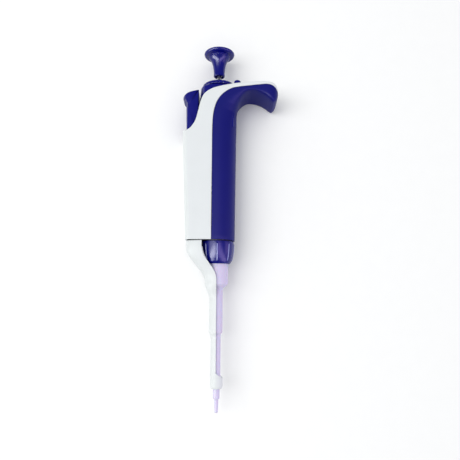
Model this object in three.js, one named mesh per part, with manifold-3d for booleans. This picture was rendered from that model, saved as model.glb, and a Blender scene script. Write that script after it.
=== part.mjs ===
// A single-channel air-displacement pipette, 0.5 to 10 microlitres, lying on its flank.
// X points from the rear window to the finger hook, Y runs from the nozzle end to the thumb
// button, Z is up. Inside this file Y is the station, in millimetres above the nozzle end,
// and the plunger axis is x = 0, z = 0. The last lines move the group so that its origin is
// the middle of the bounding box's underside.
import * as THREE from "three";
import { mergeVertices } from "three/addons/utils/BufferGeometryUtils.js";
import Module from "manifold-3d";

const wasm = await Module();
wasm.setup();

// ---------------------------------------------------------------- driving dimensions (mm)
const GAP = 0.3; // clearance between pieces that touch on the real object
const VOLUME = 10; // microlitres displaced by the full stroke
const STROKE = 10; // plunger travel to the first stop
const BLOWOUT = 3; // further travel, against the second spring
const EJECT_TRAVEL = 9; // ejector travel

// shaft, from the nozzle end up
const NOZZLE_R = 1.05, CONE_R = 1.35, CONE_TOP = 8, CONE_STEP = 0.9;
const NECK_R = 2.05, NECK_TOP = 17, LOWER_R = 2.4, LOWER_TOP = 48.5, LOWER_STEP = 2;
const MIDDLE_R = 3.55, MIDDLE_TOP = 76.5, MIDDLE_STEP = 2.5;
const BARREL_R = 7, BARREL_FLANGE_R = BARREL_R + 1.2;
const FLANGE_BOTTOM = 96.5, FLANGE_TOP = 98.7;
const CHAMBER_R = 5.6, CHAMBER_FLOOR = 80.5, AIRWAY_R = 0.4;

// handle
const HANDLE_BOTTOM = 107, HANDLE_TOP = 212, HALF_WIDTH = 12.5, WALL = 1.5;
const BACK_LOW = 20.4, BACK_HIGH = 23.4, BACK_HIGH_AT = 182; // depth behind the axis
const FRONT_LOW = 11, FRONT_HIGH = 12; // depth in front of the axis
const BACK_CORNER = 3;
const FILLET_START = 190.3, HOOK_APEX = 205.9, FILLET_REACH = 10; // front face into hook
const HOOK_END = 39.6, HOOK_TIP_X = 36.2, HOOK_TIP_Y = 198.7;
const PARTING_X = -3.7; // where the rear cover meets the front grip on the flanks

const PLATE_BOTTOM = HANDLE_BOTTOM + 0.2, PLATE_TOP = PLATE_BOTTOM + 2;

// coupling nut and the threaded adapter it screws on to
const ADAPTER_BORE = BARREL_R + 0.7, ADAPTER_R = ADAPTER_BORE + 1.2, ADAPTER_TOP = 116;
const NUT_R = ADAPTER_R + 2, NUT_BOTTOM = 92.1, NUT_RIBS = 8;

// thumb button, push rod and piston
const BUTTON_R = 10.3, BUTTON_TOP = 237.4, BUTTON_BOTTOM = 220.9, BUTTON_NECK_R = 3.75;
const ROD_R = 1.5, ROD_BOTTOM = 124.4, COLLAR_TOP = 130.2, COLLAR_R = 5.8, COLLAR_HEIGHT = 2.7;
const PISTON_R = Math.sqrt(VOLUME / STROKE / Math.PI); // area times stroke is the volume
const PISTON_HEAD_R = 4.2, PISTON_HEAD_HEIGHT = 3, PISTON_LENGTH = 74;

// volume setting
const WHEEL_R = 11.2, WHEEL_BOTTOM = 211.2, WHEEL_TOP = 214, WHEEL_FLUTES = 24;
const HUB_R = 8, HUB_BOTTOM = 205, WHEEL_BORE = 4.7, SLEEVE_R = 5.3;
const TOP_COLLAR_R = 12.3, TOP_COLLAR_BOTTOM = 182;
const SPINDLE_R = 4.3, SPINDLE_BORE = 1.9, SPINDLE_TOP = 200, STOP_WASHER_R = 5.2;
const STOP_WASHER_HEIGHT = 2;
const GEAR_MODULE = 0.6, DRIVE_TEETH = 24, COUNTER_TEETH = 16, GEAR_BOTTOM = 161.5;
const GEAR_HEIGHT = 3.2;
const DRUM_R = 6.2, DRUM_HEIGHT = 4.9, DRUM_GAP = 0.6, DRUM_BOTTOM = 143.6, AXLE_R = 1;
const RING_MODULE = 0.5, RING_TEETH = 24, PINION_TEETH = 8, PINION_HEIGHT = 2.2;
const WINDOW_HALF = 4.2, PINION_AXLE_R = 0.6;
const SCREW_STATIONS = [158, 146], SCREW_R = 1.1, SCREW_HEAD_R = 2.1, SCREW_LENGTH = 3.1;

// ejector
const EJECT_FACE = 21.4, EJECT_INNER = 13.1, EJECT_HALF = 10.2, EJECT_BLOCK_BOTTOM = 176.5;
const EJECT_TOP_HIGH = 206.9, EJECT_TOP_LOW = 203.7, EJECT_LIP = 24, LIP_THICKNESS = 1.8;
const EJECT_ROD_R = 1.4, EJECT_ROD_X = -16, EJECT_ROD_Z = DRUM_R + 2.5;
const FOOT_BOTTOM = 125, FOOT_HEIGHT = 5, POST_R = 2.4, POST_X = -15;
const ARM_TOP = HANDLE_BOTTOM - 0.4, ARM_DECK = 4, ARM_WALL = 1.3, ARM_EDGE = -0.5;
const SLEEVE_END = 14.6, RING_RIGHT = 21.6, RING_LEFT = 24.2;
const ARM_LOWER_R = 3.9, ARM_MIDDLE_R = 5.1, ARM_WAIST_R = BARREL_R + 1.2, ARM_WAIST = 81;

// ------------------------------------------------------------------------------ materials
function plastic(color, roughness = 0.4) {
  return new THREE.MeshStandardMaterial({ color, roughness, metalness: 0 });
}
function metal(color, roughness = 0.3) {
  return new THREE.MeshStandardMaterial({ color, roughness, metalness: 1 });
}
const blueGloss = plastic(0x0a0f7a, 0.25);
const blueSoft = plastic(0x1d2378, 0.6);
const whiteShell = plastic(0xe9edf0, 0.35);
const whiteArm = plastic(0xeeeef0, 0.35);
const lavender = plastic(0xd8cfee, 0.35);
const natural = plastic(0xd9d6cc, 0.5);
const black = plastic(0x1c1d20, 0.6);
const clear = plastic(0xdfe6ee, 0.1);
const steel = metal(0xb8bcc2, 0.25);
const brass = metal(0xc9a24f, 0.35);
const rubber = plastic(0x202022, 0.8);

// ---------------------------------------------------------------------------- solid tools
const FAR = 60; // beyond every piece, for regions that cut
// A closed three.js geometry as a manifold solid, with its faces turned outwards.
function solidOf(geometry) {
  const bare = geometry.clone();
  for (const name of Object.keys(bare.attributes)) {
    if (name !== "position") bare.deleteAttribute(name);
  }
  const merged = mergeVertices(bare, 1e-4);
  const triVerts = new Uint32Array(merged.index.array);
  const vertProperties = new Float32Array(merged.attributes.position.array);
  const made = new wasm.Manifold(new wasm.Mesh({ numProp: 3, vertProperties, triVerts }));
  if (made.volume() > 0) return made;
  for (let i = 0; i < triVerts.length; i += 3) {
    [triVerts[i + 1], triVerts[i + 2]] = [triVerts[i + 2], triVerts[i + 1]];
  }
  return new wasm.Manifold(new wasm.Mesh({ numProp: 3, vertProperties, triVerts }));
}

function geometryOf(solid) {
  const { numProp, vertProperties, triVerts, numVert } = solid.getMesh();
  const positions = new Float32Array(numVert * 3);
  for (let i = 0; i < numVert; i++) {
    positions.set(vertProperties.subarray(i * numProp, i * numProp + 3), i * 3);
  }
  const geometry = new THREE.BufferGeometry();
  geometry.setAttribute("position", new THREE.BufferAttribute(positions, 3));
  geometry.setIndex(new THREE.BufferAttribute(new Uint32Array(triVerts), 1));
  geometry.computeVertexNormals();
  return geometry;
}

// A turned solid about the pipette's axis; the profile is a list of [radius, station].
function turned(profile, segments = 24) {
  const points = profile.map(([r, y]) => new THREE.Vector2(r, y));
  if (profile[0][0] > 0) points.push(points[0].clone());
  return solidOf(new THREE.LatheGeometry(points, segments));
}
function rod(radius, bottom, top, segments = 24) {
  return turned([[0, bottom], [radius, bottom], [radius, top], [0, top]], segments);
}
function tube(outer, inner, bottom, top, segments = 24) {
  return turned([[inner, bottom], [outer, bottom], [outer, top], [inner, top]], segments);
}
function box(x0, x1, y0, y1, z0, z1) {
  const geometry = new THREE.BoxGeometry(x1 - x0, y1 - y0, z1 - z0);
  return solidOf(geometry.translate((x0 + x1) / 2, (y0 + y1) / 2, (z0 + z1) / 2));
}

// A side outline, drawn in x and station, carried across z.
function acrossWidth(shape, halfWidth, curveSegments = 8) {
  const settings = { depth: 2 * halfWidth, bevelEnabled: false, curveSegments };
  return solidOf(new THREE.ExtrudeGeometry(shape, settings).translate(0, 0, -halfWidth));
}
// An outline in x and -z, carried along the axis.
function alongAxis(shape, bottom, top, curveSegments = 8) {
  const settings = { depth: top - bottom, bevelEnabled: false, curveSegments };
  const geometry = new THREE.ExtrudeGeometry(shape, settings);
  return solidOf(geometry.rotateX(-Math.PI / 2).translate(0, bottom, 0));
}
// A closed skin over rings of equally many points, with a flat cap on each end ring.
function loft(rings) {
  const count = rings[0].length;
  const index = [];
  rings.slice(1).forEach((_, k) => {
    for (let i = 0; i < count; i++) {
      const a = k * count + i, b = k * count + ((i + 1) % count);
      index.push(a, b, b + count, a, b + count, a + count);
    }
  });
  const outline = rings[0].map((p) => new THREE.Vector2(p.x, p.z));
  const last = (rings.length - 1) * count;
  for (const [a, b, c] of THREE.ShapeUtils.triangulateShape(outline, [])) {
    index.push(b, a, c, last + a, last + b, last + c);
  }
  const geometry = new THREE.BufferGeometry().setFromPoints(rings.flat());
  return solidOf(geometry.setIndex(index));
}
function polygon(points) {
  return new THREE.Shape(points.map(([x, y]) => new THREE.Vector2(x, y)));
}
function smooth(points, divisions) {
  const curve = new THREE.SplineCurve(points.map(([x, y]) => new THREE.Vector2(x, y)));
  return curve.getPoints(divisions).map((p) => [p.x, p.y]);
}

// A line carried a set distance to the right of the way it runs.
function beside(line, distance) {
  return line.map(([x, y], i) => {
    const [x0, y0] = line[Math.max(0, i - 1)], [x1, y1] = line[Math.min(line.length - 1, i + 1)];
    const length = Math.hypot(x1 - x0, y1 - y0);
    return [x + (distance * (y1 - y0)) / length, y - (distance * (x1 - x0)) / length];
  });
}

class Helix extends THREE.Curve {
  constructor(radius, bottom, top, turns) {
    super();
    Object.assign(this, { radius, bottom, top, turns });
  }
  getPoint(t) {
    const angle = 2 * Math.PI * this.turns * t;
    const y = this.bottom + (this.top - this.bottom) * t;
    return new THREE.Vector3(this.radius * Math.cos(angle), y, this.radius * Math.sin(angle));
  }
}
const WIRE_SIDES = 6, STEPS_PER_TURN = 10;
function spring(radius, wire, bottom, top, turns) {
  const path = new Helix(radius, bottom + wire, top - wire, turns);
  const points = Array.from({ length: WIRE_SIDES }, (_, i) => {
    const angle = (2 * Math.PI * i) / WIRE_SIDES;
    return [wire * Math.cos(angle), wire * Math.sin(angle)];
  });
  const settings = { steps: turns * STEPS_PER_TURN, extrudePath: path, curveSegments: 1 };
  return solidOf(new THREE.ExtrudeGeometry(polygon(points), settings));
}

// A spur gear about an axis at x, z; thin teeth leave the backlash that straight flanks need.
const TOOTH_SHARE = 0.36, ADDENDUM = 0.9, DEDENDUM = 1.25;
function gear(teeth, module, bore, bottom, height, x = 0, z = 0, turn = 0) {
  const pitch = (teeth * module) / 2;
  const root = pitch - DEDENDUM * module, tip = pitch + ADDENDUM * module;
  const share = (TOOTH_SHARE * 2 * Math.PI) / teeth;
  const points = [];
  for (let i = 0; i < teeth; i++) {
    const middle = (2 * Math.PI * i) / teeth + turn;
    for (const [radius, offset] of [[root, -0.8], [tip, -0.3], [tip, 0.3], [root, 0.8]]) {
      const angle = middle + offset * share;
      points.push([radius * Math.cos(angle), radius * Math.sin(angle)]);
    }
  }
  const shape = polygon(points);
  const hole = new THREE.Path().absarc(0, 0, bore, 0, 2 * Math.PI, true);
  shape.holes.push(hole);
  return alongAxis(shape, bottom, bottom + height, 12).translate([x, 0, z]);
}

// ------------------------------------------------------------------- the handle's outside
// Depth of the back face behind the axis at a station.
function backDepth(y) {
  const share = (y - HANDLE_BOTTOM) / (BACK_HIGH_AT - HANDLE_BOTTOM);
  return BACK_LOW + (BACK_HIGH - BACK_LOW) * share;
}
// Reach of the front face: a slight taper, then a quarter ellipse that turns into the hook.
function frontReach(y, filleted) {
  const share = (y - HANDLE_BOTTOM) / (FILLET_START - HANDLE_BOTTOM);
  const plain = FRONT_LOW + (FRONT_HIGH - FRONT_LOW) * Math.min(1, share);
  if (!filleted) return plain;
  const t = THREE.MathUtils.clamp((y - FILLET_START) / (HOOK_APEX - FILLET_START), 0, 1);
  return plain + FILLET_REACH * (1 - Math.sqrt(1 - t * t));
}
// The front grows from a round to a nearly square section as it becomes the hook.
const ROUND_POWER = 2, SQUARE_POWER = 8;
function frontPower(y, filleted) {
  const t = THREE.MathUtils.clamp((y - FILLET_START) / (HOOK_APEX - FILLET_START), 0, 1);
  return filleted ? ROUND_POWER + (SQUARE_POWER - ROUND_POWER) * t * t : ROUND_POWER;
}
const FRONT_STEPS = 16, CORNER_STEPS = 4;
function handleRing(y, inset, filleted = true) {
  const half = HALF_WIDTH - inset, reach = frontReach(y, filleted) - inset;
  const back = backDepth(y) - inset, corner = BACK_CORNER - inset;
  const power = 2 / frontPower(y, filleted);
  const ring = [];
  for (let i = 0; i <= FRONT_STEPS; i++) {
    const angle = Math.PI * (i / FRONT_STEPS - 0.5);
    const c = Math.cos(angle), s = Math.sin(angle);
    const z = half * Math.sign(s) * Math.abs(s) ** power;
    ring.push(new THREE.Vector3(reach * Math.max(0, c) ** power, y, z));
  }
  for (const side of [1, -1]) {
    for (let i = 0; i <= CORNER_STEPS; i++) {
      const step = side > 0 ? i : CORNER_STEPS - i;
      const angle = (Math.PI / 2) * (step / CORNER_STEPS);
      const x = -(back - corner) - corner * Math.sin(angle);
      const z = side * (half - corner + corner * Math.cos(angle));
      ring.push(new THREE.Vector3(x, y, z));
    }
  }
  return ring;
}
const filletStations = Array.from({ length: 7 }, (_, i) =>
  FILLET_START + (HOOK_APEX - FILLET_START) * Math.sin((Math.PI / 2) * (i / 6)));
const outside = loft([HANDLE_BOTTOM, ...filletStations, HANDLE_TOP].map((y) => handleRing(y, 0)));
const hollow = loft([HANDLE_BOTTOM - 1, FILLET_START, HANDLE_TOP + 5]
  .map((y) => handleRing(y, WALL, false)));

// The finger hook's side outline: flat top, rounded end and the curve the finger rests on.
function hookSolid() {
  const shape = new THREE.Shape();
  shape.moveTo(8, HANDLE_TOP - 1.2);
  shape.quadraticCurveTo(20, HANDLE_TOP, 30, HANDLE_TOP);
  shape.lineTo(HOOK_END - 6, HANDLE_TOP - 0.3);
  shape.quadraticCurveTo(HOOK_END, HANDLE_TOP - 0.9, HOOK_END, HANDLE_TOP - 6);
  shape.quadraticCurveTo(HOOK_END - 0.3, HOOK_TIP_Y + 2.4, HOOK_TIP_X + 1, HOOK_TIP_Y + 0.2);
  shape.quadraticCurveTo(HOOK_TIP_X, HOOK_TIP_Y - 0.4, HOOK_TIP_X - 1, HOOK_TIP_Y + 0.5);
  shape.quadraticCurveTo(FRONT_HIGH + FILLET_REACH + 6, HOOK_APEX, FRONT_HIGH + FILLET_REACH,
    HOOK_APEX);
  shape.lineTo(8, HOOK_APEX);
  const side = acrossWidth(shape, HALF_WIDTH, 6);
  const plan = new THREE.Shape();
  const roundEnd = 7;
  plan.moveTo(0, -HALF_WIDTH);
  plan.lineTo(HOOK_END - roundEnd, -HALF_WIDTH);
  plan.quadraticCurveTo(HOOK_END, -HALF_WIDTH, HOOK_END, -HALF_WIDTH + roundEnd);
  plan.lineTo(HOOK_END, HALF_WIDTH - roundEnd);
  plan.quadraticCurveTo(HOOK_END, HALF_WIDTH, HOOK_END - roundEnd, HALF_WIDTH);
  plan.lineTo(0, HALF_WIDTH);
  return side.intersect(alongAxis(plan, HOOK_TIP_Y - 2, HANDLE_TOP + 1, 5));
}
const clearOfWheel = rod(WHEEL_R + 0.65, WHEEL_BOTTOM - GAP, HANDLE_TOP + 10, 32);
// The room inside the shells, less a clearance: what the pieces in the handle stay within.
const room = loft([HANDLE_BOTTOM - 20, FILLET_START, HANDLE_TOP + 5]
  .map((y) => handleRing(y, WALL + GAP, false)));
const shell = outside.add(hookSolid()).subtract(hollow).subtract(clearOfWheel);

// Where the white rear cover ends: up the flank, over the shoulder and along the hook.
const partingLine = smooth([
  [PARTING_X, HANDLE_BOTTOM + 70], [PARTING_X + 0.5, 188], [PARTING_X + 2, 195.5],
  [0.8, 200.2], [4.7, 204.2], [9.4, 206.8], [16.5, 208], [28.7, 209.6], [34, 209.4],
  [37.8, 207.6], [HOOK_END + 1, 203],
], 28);
// The cover's free upper edge: behind the ejector button, over the shoulder to the wheel.
const shoulderLine = smooth([
  [-30, 175.6], [-20, 179], [-15.9, 183.6], [-13.3, 191.8], [-11.8, 198.3], [-9.5, 203.3],
  [-4.7, 206.9], [1.2, 208.8], [7.7, 210.2], [14, HANDLE_TOP + 1],
], 22);
const coverRegion = acrossWidth(polygon([
  [-FAR, 0], [PARTING_X, 0], ...partingLine, [FAR, 203], [FAR, FAR * 5],
  [14, FAR * 5], ...shoulderLine.toReversed(), [-FAR, 175],
]), FAR);
const gripLine = beside(partingLine, GAP);
const gripRegion = acrossWidth(polygon([
  [PARTING_X + GAP, 0], ...gripLine, [gripLine.at(-1)[0], 190], [FAR, 190], [FAR, 0],
]), FAR);

function windowCut(clearance) {
  const back = (y) => -backDepth(y);
  const low = DRUM_BOTTOM - 0.4 + clearance, half = WINDOW_HALF - clearance;
  const high = DRUM_BOTTOM + 3 * (DRUM_HEIGHT + DRUM_GAP) - clearance;
  const depth = clearance ? WALL : 5;
  const proud = clearance ? 0 : 5;
  return acrossWidth(polygon([
    [back(low) - proud, low], [back(low) + depth, low], [back(high) + depth, high],
    [back(high) - proud, high],
  ]), half);
}
const CALIBRATION_RISE = 3.3, calibrationRecess = 1.6;
function calibrationPlug(clearance) {
  const inner = WHEEL_R + 0.8 - clearance, outer = inner + 4.2 + 2 * clearance;
  const foot = HANDLE_TOP - calibrationRecess - clearance;
  const top = HANDLE_TOP + CALIBRATION_RISE;
  const profile = [[inner, foot], [outer, foot], [outer, top - 1.6], [outer - 1.1, top],
    [inner + 1, top], [inner, top - 1.3]];
  const half = 7.2 + clearance;
  return turned(profile, 48).intersect(box(5, 20, foot - 1, HANDLE_TOP + 5, -half, half));
}

function rearCover() {
  return shell.intersect(coverRegion).subtract(windowCut(0))
    .subtract(calibrationPlug(GAP));
}
function screwHole(y) {
  const depth = FRAME_WALL + SCREW_LENGTH;
  return rod(SCREW_R + GAP, -depth, -FRAME_WALL + 1, 16).rotate([0, 0, 90]).translate([0, y, 0]);
}
function frontGrip() {
  return SCREW_STATIONS.map(screwHole)
    .reduce((made, hole) => made.subtract(hole), shell.intersect(gripRegion));
}
function topCollar() {
  const round = tube(TOP_COLLAR_R, HUB_R + GAP, TOP_COLLAR_BOTTOM, WHEEL_BOTTOM - GAP, 40);
  const seat = tube(HUB_R + 1, SLEEVE_R + GAP, HUB_BOTTOM - 3, HUB_BOTTOM - GAP, 32);
  const relief = box(-20, -EJECT_INNER + GAP, 100, 250, -20, 20);
  const rear = -EJECT_INNER + GAP;
  const spine = box(rear, -HUB_R - 1, TOP_COLLAR_BOTTOM, EJECT_TOP_HIGH - 1, -8, 8);
  return round.add(spine).intersect(room).add(seat).subtract(relief).subtract(calibrationPlug(GAP));
}
function basePlate() {
  const plate = room.intersect(box(-FAR, FAR, PLATE_BOTTOM, PLATE_TOP, -FAR, FAR));
  const shaftHole = rod(ADAPTER_R + GAP, 100, 120, 28);
  const postHole = rod(POST_R + GAP, 100, 120, 20).translate([POST_X, 0, 0]);
  return plate.subtract(shaftHole).subtract(postHole);
}

// ------------------------------------------------------------------------- nut and shaft
const nutTop = HANDLE_BOTTOM - 0.5;
// The nut's outside at a share of its height, as [share, radius less NUT_R].
const NUT_OUTLINE = [[0, -3], [0.05, -2.5], [0.18, -1.5], [0.37, -0.75], [0.59, -0.1], [1, 0]];
const RIB_DEPTH = 0.35, RIB_WIDTH = 0.9;
function couplingNut() {
  const height = nutTop - NUT_BOTTOM;
  const outline = (grown) => [[0, NUT_BOTTOM],
    ...NUT_OUTLINE.map(([share, r]) => [NUT_R + r + grown, NUT_BOTTOM + share * height]),
    [0, nutTop]];
  const ribs = turned(outline(RIB_DEPTH), 40)
    .intersect(box(-20, 20, NUT_BOTTOM + 2.2, nutTop - 2.2, -20, 20));
  const ribbed = Array.from({ length: NUT_RIBS / 2 }, (_, i) => {
    const slab = box(-20, 20, 80, 120, -RIB_WIDTH / 2, RIB_WIDTH / 2);
    return ribs.intersect(slab.rotate([0, (360 * i) / NUT_RIBS, 0]));
  });
  const bore = turned([
    [0, 80], [BARREL_R + GAP, 80], [BARREL_R + GAP, FLANGE_BOTTOM - GAP],
    [BARREL_FLANGE_R + GAP, FLANGE_BOTTOM - GAP], [BARREL_FLANGE_R + GAP, FLANGE_TOP - GAP],
    [ADAPTER_R + GAP, FLANGE_TOP], [ADAPTER_R + GAP, 120], [0, 120],
  ], 40);
  return ribbed.reduce((made, rib) => made.add(rib), turned(outline(0), 40)).subtract(bore);
}
function shaft() {
  const outer = [
    [AIRWAY_R, 0], [NOZZLE_R - 0.25, 0], [NOZZLE_R, 0.5], [CONE_R, CONE_TOP],
    [NECK_R, CONE_TOP + CONE_STEP], [NECK_R, NECK_TOP], [LOWER_R, NECK_TOP + 0.8],
    [LOWER_R, LOWER_TOP], [MIDDLE_R, LOWER_TOP + LOWER_STEP], [MIDDLE_R, MIDDLE_TOP],
    [BARREL_R - 0.15, MIDDLE_TOP + MIDDLE_STEP], [BARREL_R, FLANGE_BOTTOM],
    [BARREL_FLANGE_R, FLANGE_BOTTOM], [BARREL_FLANGE_R, FLANGE_TOP],
  ];
  const pistonBore = PISTON_R + 0.2;
  const boreFloor = ROD_BOTTOM - GAP - PISTON_HEAD_HEIGHT - PISTON_LENGTH - STROKE - BLOWOUT - 2;
  const inner = [
    [CHAMBER_R, FLANGE_TOP], [CHAMBER_R, CHAMBER_FLOOR], [pistonBore, CHAMBER_FLOOR],
    [pistonBore, boreFloor], [AIRWAY_R, boreFloor - 0.6],
  ];
  return turned([...outer, ...inner], 28);
}
function shaftAdapter() {
  const sleeve = tube(ADAPTER_R, ADAPTER_BORE, FLANGE_TOP + 1, ADAPTER_TOP, 32);
  const flange = tube(ADAPTER_R + 1.6, ADAPTER_BORE + 0.5, PLATE_TOP + GAP, PLATE_TOP + 1.8, 32);
  const seat = tube(ADAPTER_BORE + 0.5, 5.2, FLANGE_TOP + 3, FLANGE_TOP + 4.2, 32);
  return sleeve.add(flange.intersect(room)).add(seat);
}
const sealRoom = CHAMBER_R - 0.3;

// ---------------------------------------------------------------- plunger and blow-out
function plungerButton() {
  const rim = BUTTON_TOP - 1.2;
  const profile = new THREE.SplineCurve([
    [BUTTON_NECK_R, BUTTON_BOTTOM + 0.6], [BUTTON_NECK_R + 0.05, BUTTON_BOTTOM + 3],
    [BUTTON_NECK_R + 0.4, BUTTON_BOTTOM + 6], [BUTTON_NECK_R + 1.05, BUTTON_BOTTOM + 8.8],
    [BUTTON_NECK_R + 1.95, BUTTON_BOTTOM + 10.9], [BUTTON_NECK_R + 2.95, BUTTON_BOTTOM + 12.3],
  ].map(([r, y]) => new THREE.Vector2(r, y))).getPoints(12).map((p) => [p.x, p.y]);
  return turned([
    [ROD_R + GAP, BUTTON_BOTTOM], [BUTTON_NECK_R - 0.5, BUTTON_BOTTOM], ...profile,
    [BUTTON_R - 3.2, rim - 1.8], [BUTTON_R - 0.9, rim - 1.3], [BUTTON_R, rim - 0.2], [BUTTON_R, rim + 0.5],
    [BUTTON_R - 0.6, BUTTON_TOP], [BUTTON_R - 1.6, BUTTON_TOP - 0.1],
    [BUTTON_R - 2, BUTTON_TOP - 1.4], [ROD_R + GAP, BUTTON_TOP - 1.7],
  ], 40);
}
function buttonCap() {
  return turned([
    [0, BUTTON_TOP - 1.4], [BUTTON_R - 2.3, BUTTON_TOP - 1.1], [BUTTON_R - 2, BUTTON_TOP - 0.4],
    [BUTTON_R - 4, BUTTON_TOP - 0.7], [0, BUTTON_TOP - 0.9],
  ], 32);
}
function pushRod() {
  return rod(ROD_R, ROD_BOTTOM, BUTTON_TOP - 3, 20);
}
function rodCollar() {
  return tube(COLLAR_R, ROD_R + GAP, COLLAR_TOP - COLLAR_HEIGHT, COLLAR_TOP, 28);
}
const pistonHeadTop = ROD_BOTTOM - GAP, pistonHeadBottom = pistonHeadTop - PISTON_HEAD_HEIGHT;
function pistonHead() {
  return turned([
    [0, pistonHeadBottom + 0.6], [1.6, pistonHeadBottom + 0.6], [1.6, pistonHeadBottom - 4],
    [2.4, pistonHeadBottom - 4], [2.6, pistonHeadBottom + 1], [PISTON_HEAD_R, pistonHeadBottom + 1],
    [PISTON_HEAD_R, pistonHeadTop], [0, pistonHeadTop],
  ], 24);
}
function piston() {
  return rod(PISTON_R, pistonHeadBottom - PISTON_LENGTH, pistonHeadBottom + 0.3, 14);
}
const stopTop = COLLAR_TOP - COLLAR_HEIGHT - STROKE - GAP;
function stopSleeve() {
  return turned([
    [4.6, stopTop - 9], [5.1, stopTop - 9], [5.1, stopTop - 2], [6.9, stopTop - 2],
    [6.9, stopTop], [4.6, stopTop],
  ], 28);
}

// ---------------------------------------------------------------------- volume setting
function thumbwheel() {
  const points = [];
  const around = WHEEL_FLUTES * 4;
  for (let i = 0; i < around; i++) {
    const angle = (2 * Math.PI * i) / around;
    const radius = WHEEL_R - (i % 4 === 0 ? 0.45 : 0);
    points.push([radius * Math.cos(angle), radius * Math.sin(angle)]);
  }
  const rim = alongAxis(polygon(points), WHEEL_BOTTOM, WHEEL_TOP);
  const dome = turned([
    [0, WHEEL_BOTTOM - 1], [WHEEL_R + 1, WHEEL_BOTTOM - 1], [WHEEL_R + 1, WHEEL_TOP - 1.2],
    [WHEEL_R - 0.6, WHEEL_TOP - 0.3], [WHEEL_R - 2, WHEEL_TOP], [0, WHEEL_TOP],
  ], 40);
  const hub = rod(HUB_R, HUB_BOTTOM, WHEEL_BOTTOM + 1, 32);
  return rim.intersect(dome).add(hub).subtract(rod(WHEEL_BORE, 200, 220, 28));
}
const gearTop = GEAR_BOTTOM + GEAR_HEIGHT;
function wheelSleeve() {
  return tube(SLEEVE_R, WHEEL_BORE, gearTop + GAP, HUB_BOTTOM - GAP, 28);
}
function driveGear() {
  return gear(DRIVE_TEETH, GEAR_MODULE, WHEEL_BORE, GEAR_BOTTOM, GEAR_HEIGHT);
}
const washerBottom = COLLAR_TOP + STROKE + 0.8;
const spindleBottom = washerBottom + STOP_WASHER_HEIGHT + GAP;
function stopWasher() {
  return tube(STOP_WASHER_R, SPINDLE_BORE + 0.2, washerBottom, spindleBottom - GAP, 28);
}
function volumeSpindle() {
  const threads = 8, pitch = 1.2;
  const profile = [[SPINDLE_BORE, spindleBottom], [SPINDLE_R - 0.5, spindleBottom]];
  for (let i = 0; i < threads; i++) {
    const y = spindleBottom + 1 + i * pitch;
    profile.push([SPINDLE_R - 0.5, y], [SPINDLE_R, y + 0.35], [SPINDLE_R, y + 0.55],
      [SPINDLE_R - 0.5, y + 0.9]);
  }
  profile.push([SPINDLE_R - 0.5, SPINDLE_TOP], [SPINDLE_BORE, SPINDLE_TOP]);
  return turned(profile, 20);
}
const axleX = -((DRIVE_TEETH + COUNTER_TEETH) * GEAR_MODULE) / 2 - 0.1;
const pinionZ = -((RING_TEETH + PINION_TEETH) * RING_MODULE) / 2 - 0.1;
function drumBottom(place) {
  return DRUM_BOTTOM + place * (DRUM_HEIGHT + DRUM_GAP);
}
function drum(place, bore) {
  const bottom = drumBottom(place), ringTop = bottom + 1.4;
  const body = tube(DRUM_R, bore, ringTop, bottom + DRUM_HEIGHT, 30).translate([axleX, 0, 0]);
  if (place === 0) {
    return body.add(tube(DRUM_R, bore, bottom, ringTop, 30).translate([axleX, 0, 0]));
  }
  return body.add(gear(RING_TEETH, RING_MODULE, bore, bottom, 1.4, axleX, 0, Math.PI / 2));
}
function carryPinion(place) {
  const bottom = drumBottom(place) - 0.4;
  const turn = Math.PI / PINION_TEETH + Math.PI / 2;
  return gear(PINION_TEETH, RING_MODULE, PINION_AXLE_R + 0.1, bottom, PINION_HEIGHT - 0.6, axleX, pinionZ, turn);
}
const FRAME_WALL = 8.1, FRAME_SIDE = 5.9;
const frameTop = GEAR_BOTTOM + GEAR_HEIGHT + 1, frameBottom = DRUM_BOTTOM - 2.6;
function counterFrame() {
  const upper = box(-18, 9.4, frameTop, frameTop + 1.6, -10.4, FRAME_SIDE);
  const lower = box(-18, 9.4, frameBottom, frameBottom + 1.6, -10.4, FRAME_SIDE);
  const wall = box(FRAME_WALL, 9.4, frameBottom, frameTop + 1.6, -4, 4);
  const holes = [
    rod(SLEEVE_R + 0.5, 100, 200, 28),
    rod(AXLE_R + 0.1, 100, 200, 16).translate([axleX, 0, 0]),
    rod(PINION_AXLE_R + 0.15, 100, 200, 12).translate([axleX, 0, pinionZ]),
    ...SCREW_STATIONS.map(screwHole),
  ];
  const frame = upper.add(lower).add(wall).intersect(room);
  return holes.reduce((made, hole) => made.subtract(hole), frame);
}
function leadNut() {
  const block = box(axleX + DRUM_R + 0.5, 7.6, 150, 155, -6.5, 6.5);
  return block.subtract(rod(SPINDLE_R + 0.25, 140, 170, 28));
}
function frameScrew(y) {
  const head = 1.5, socket = 0.5;
  const shank = turned([
    [0, 0], [SCREW_R, 0], [SCREW_R, SCREW_LENGTH], [SCREW_HEAD_R, SCREW_LENGTH],
    [SCREW_HEAD_R, SCREW_LENGTH + head - 0.5], [SCREW_HEAD_R - 0.6, SCREW_LENGTH + head],
    [socket, SCREW_LENGTH + head], [socket, SCREW_LENGTH + 0.6], [0, SCREW_LENGTH + 0.6],
  ], 16);
  return shank.rotate([0, 0, 90]).translate([FRAME_WALL - GAP + SCREW_LENGTH, y, 0]);
}
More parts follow.
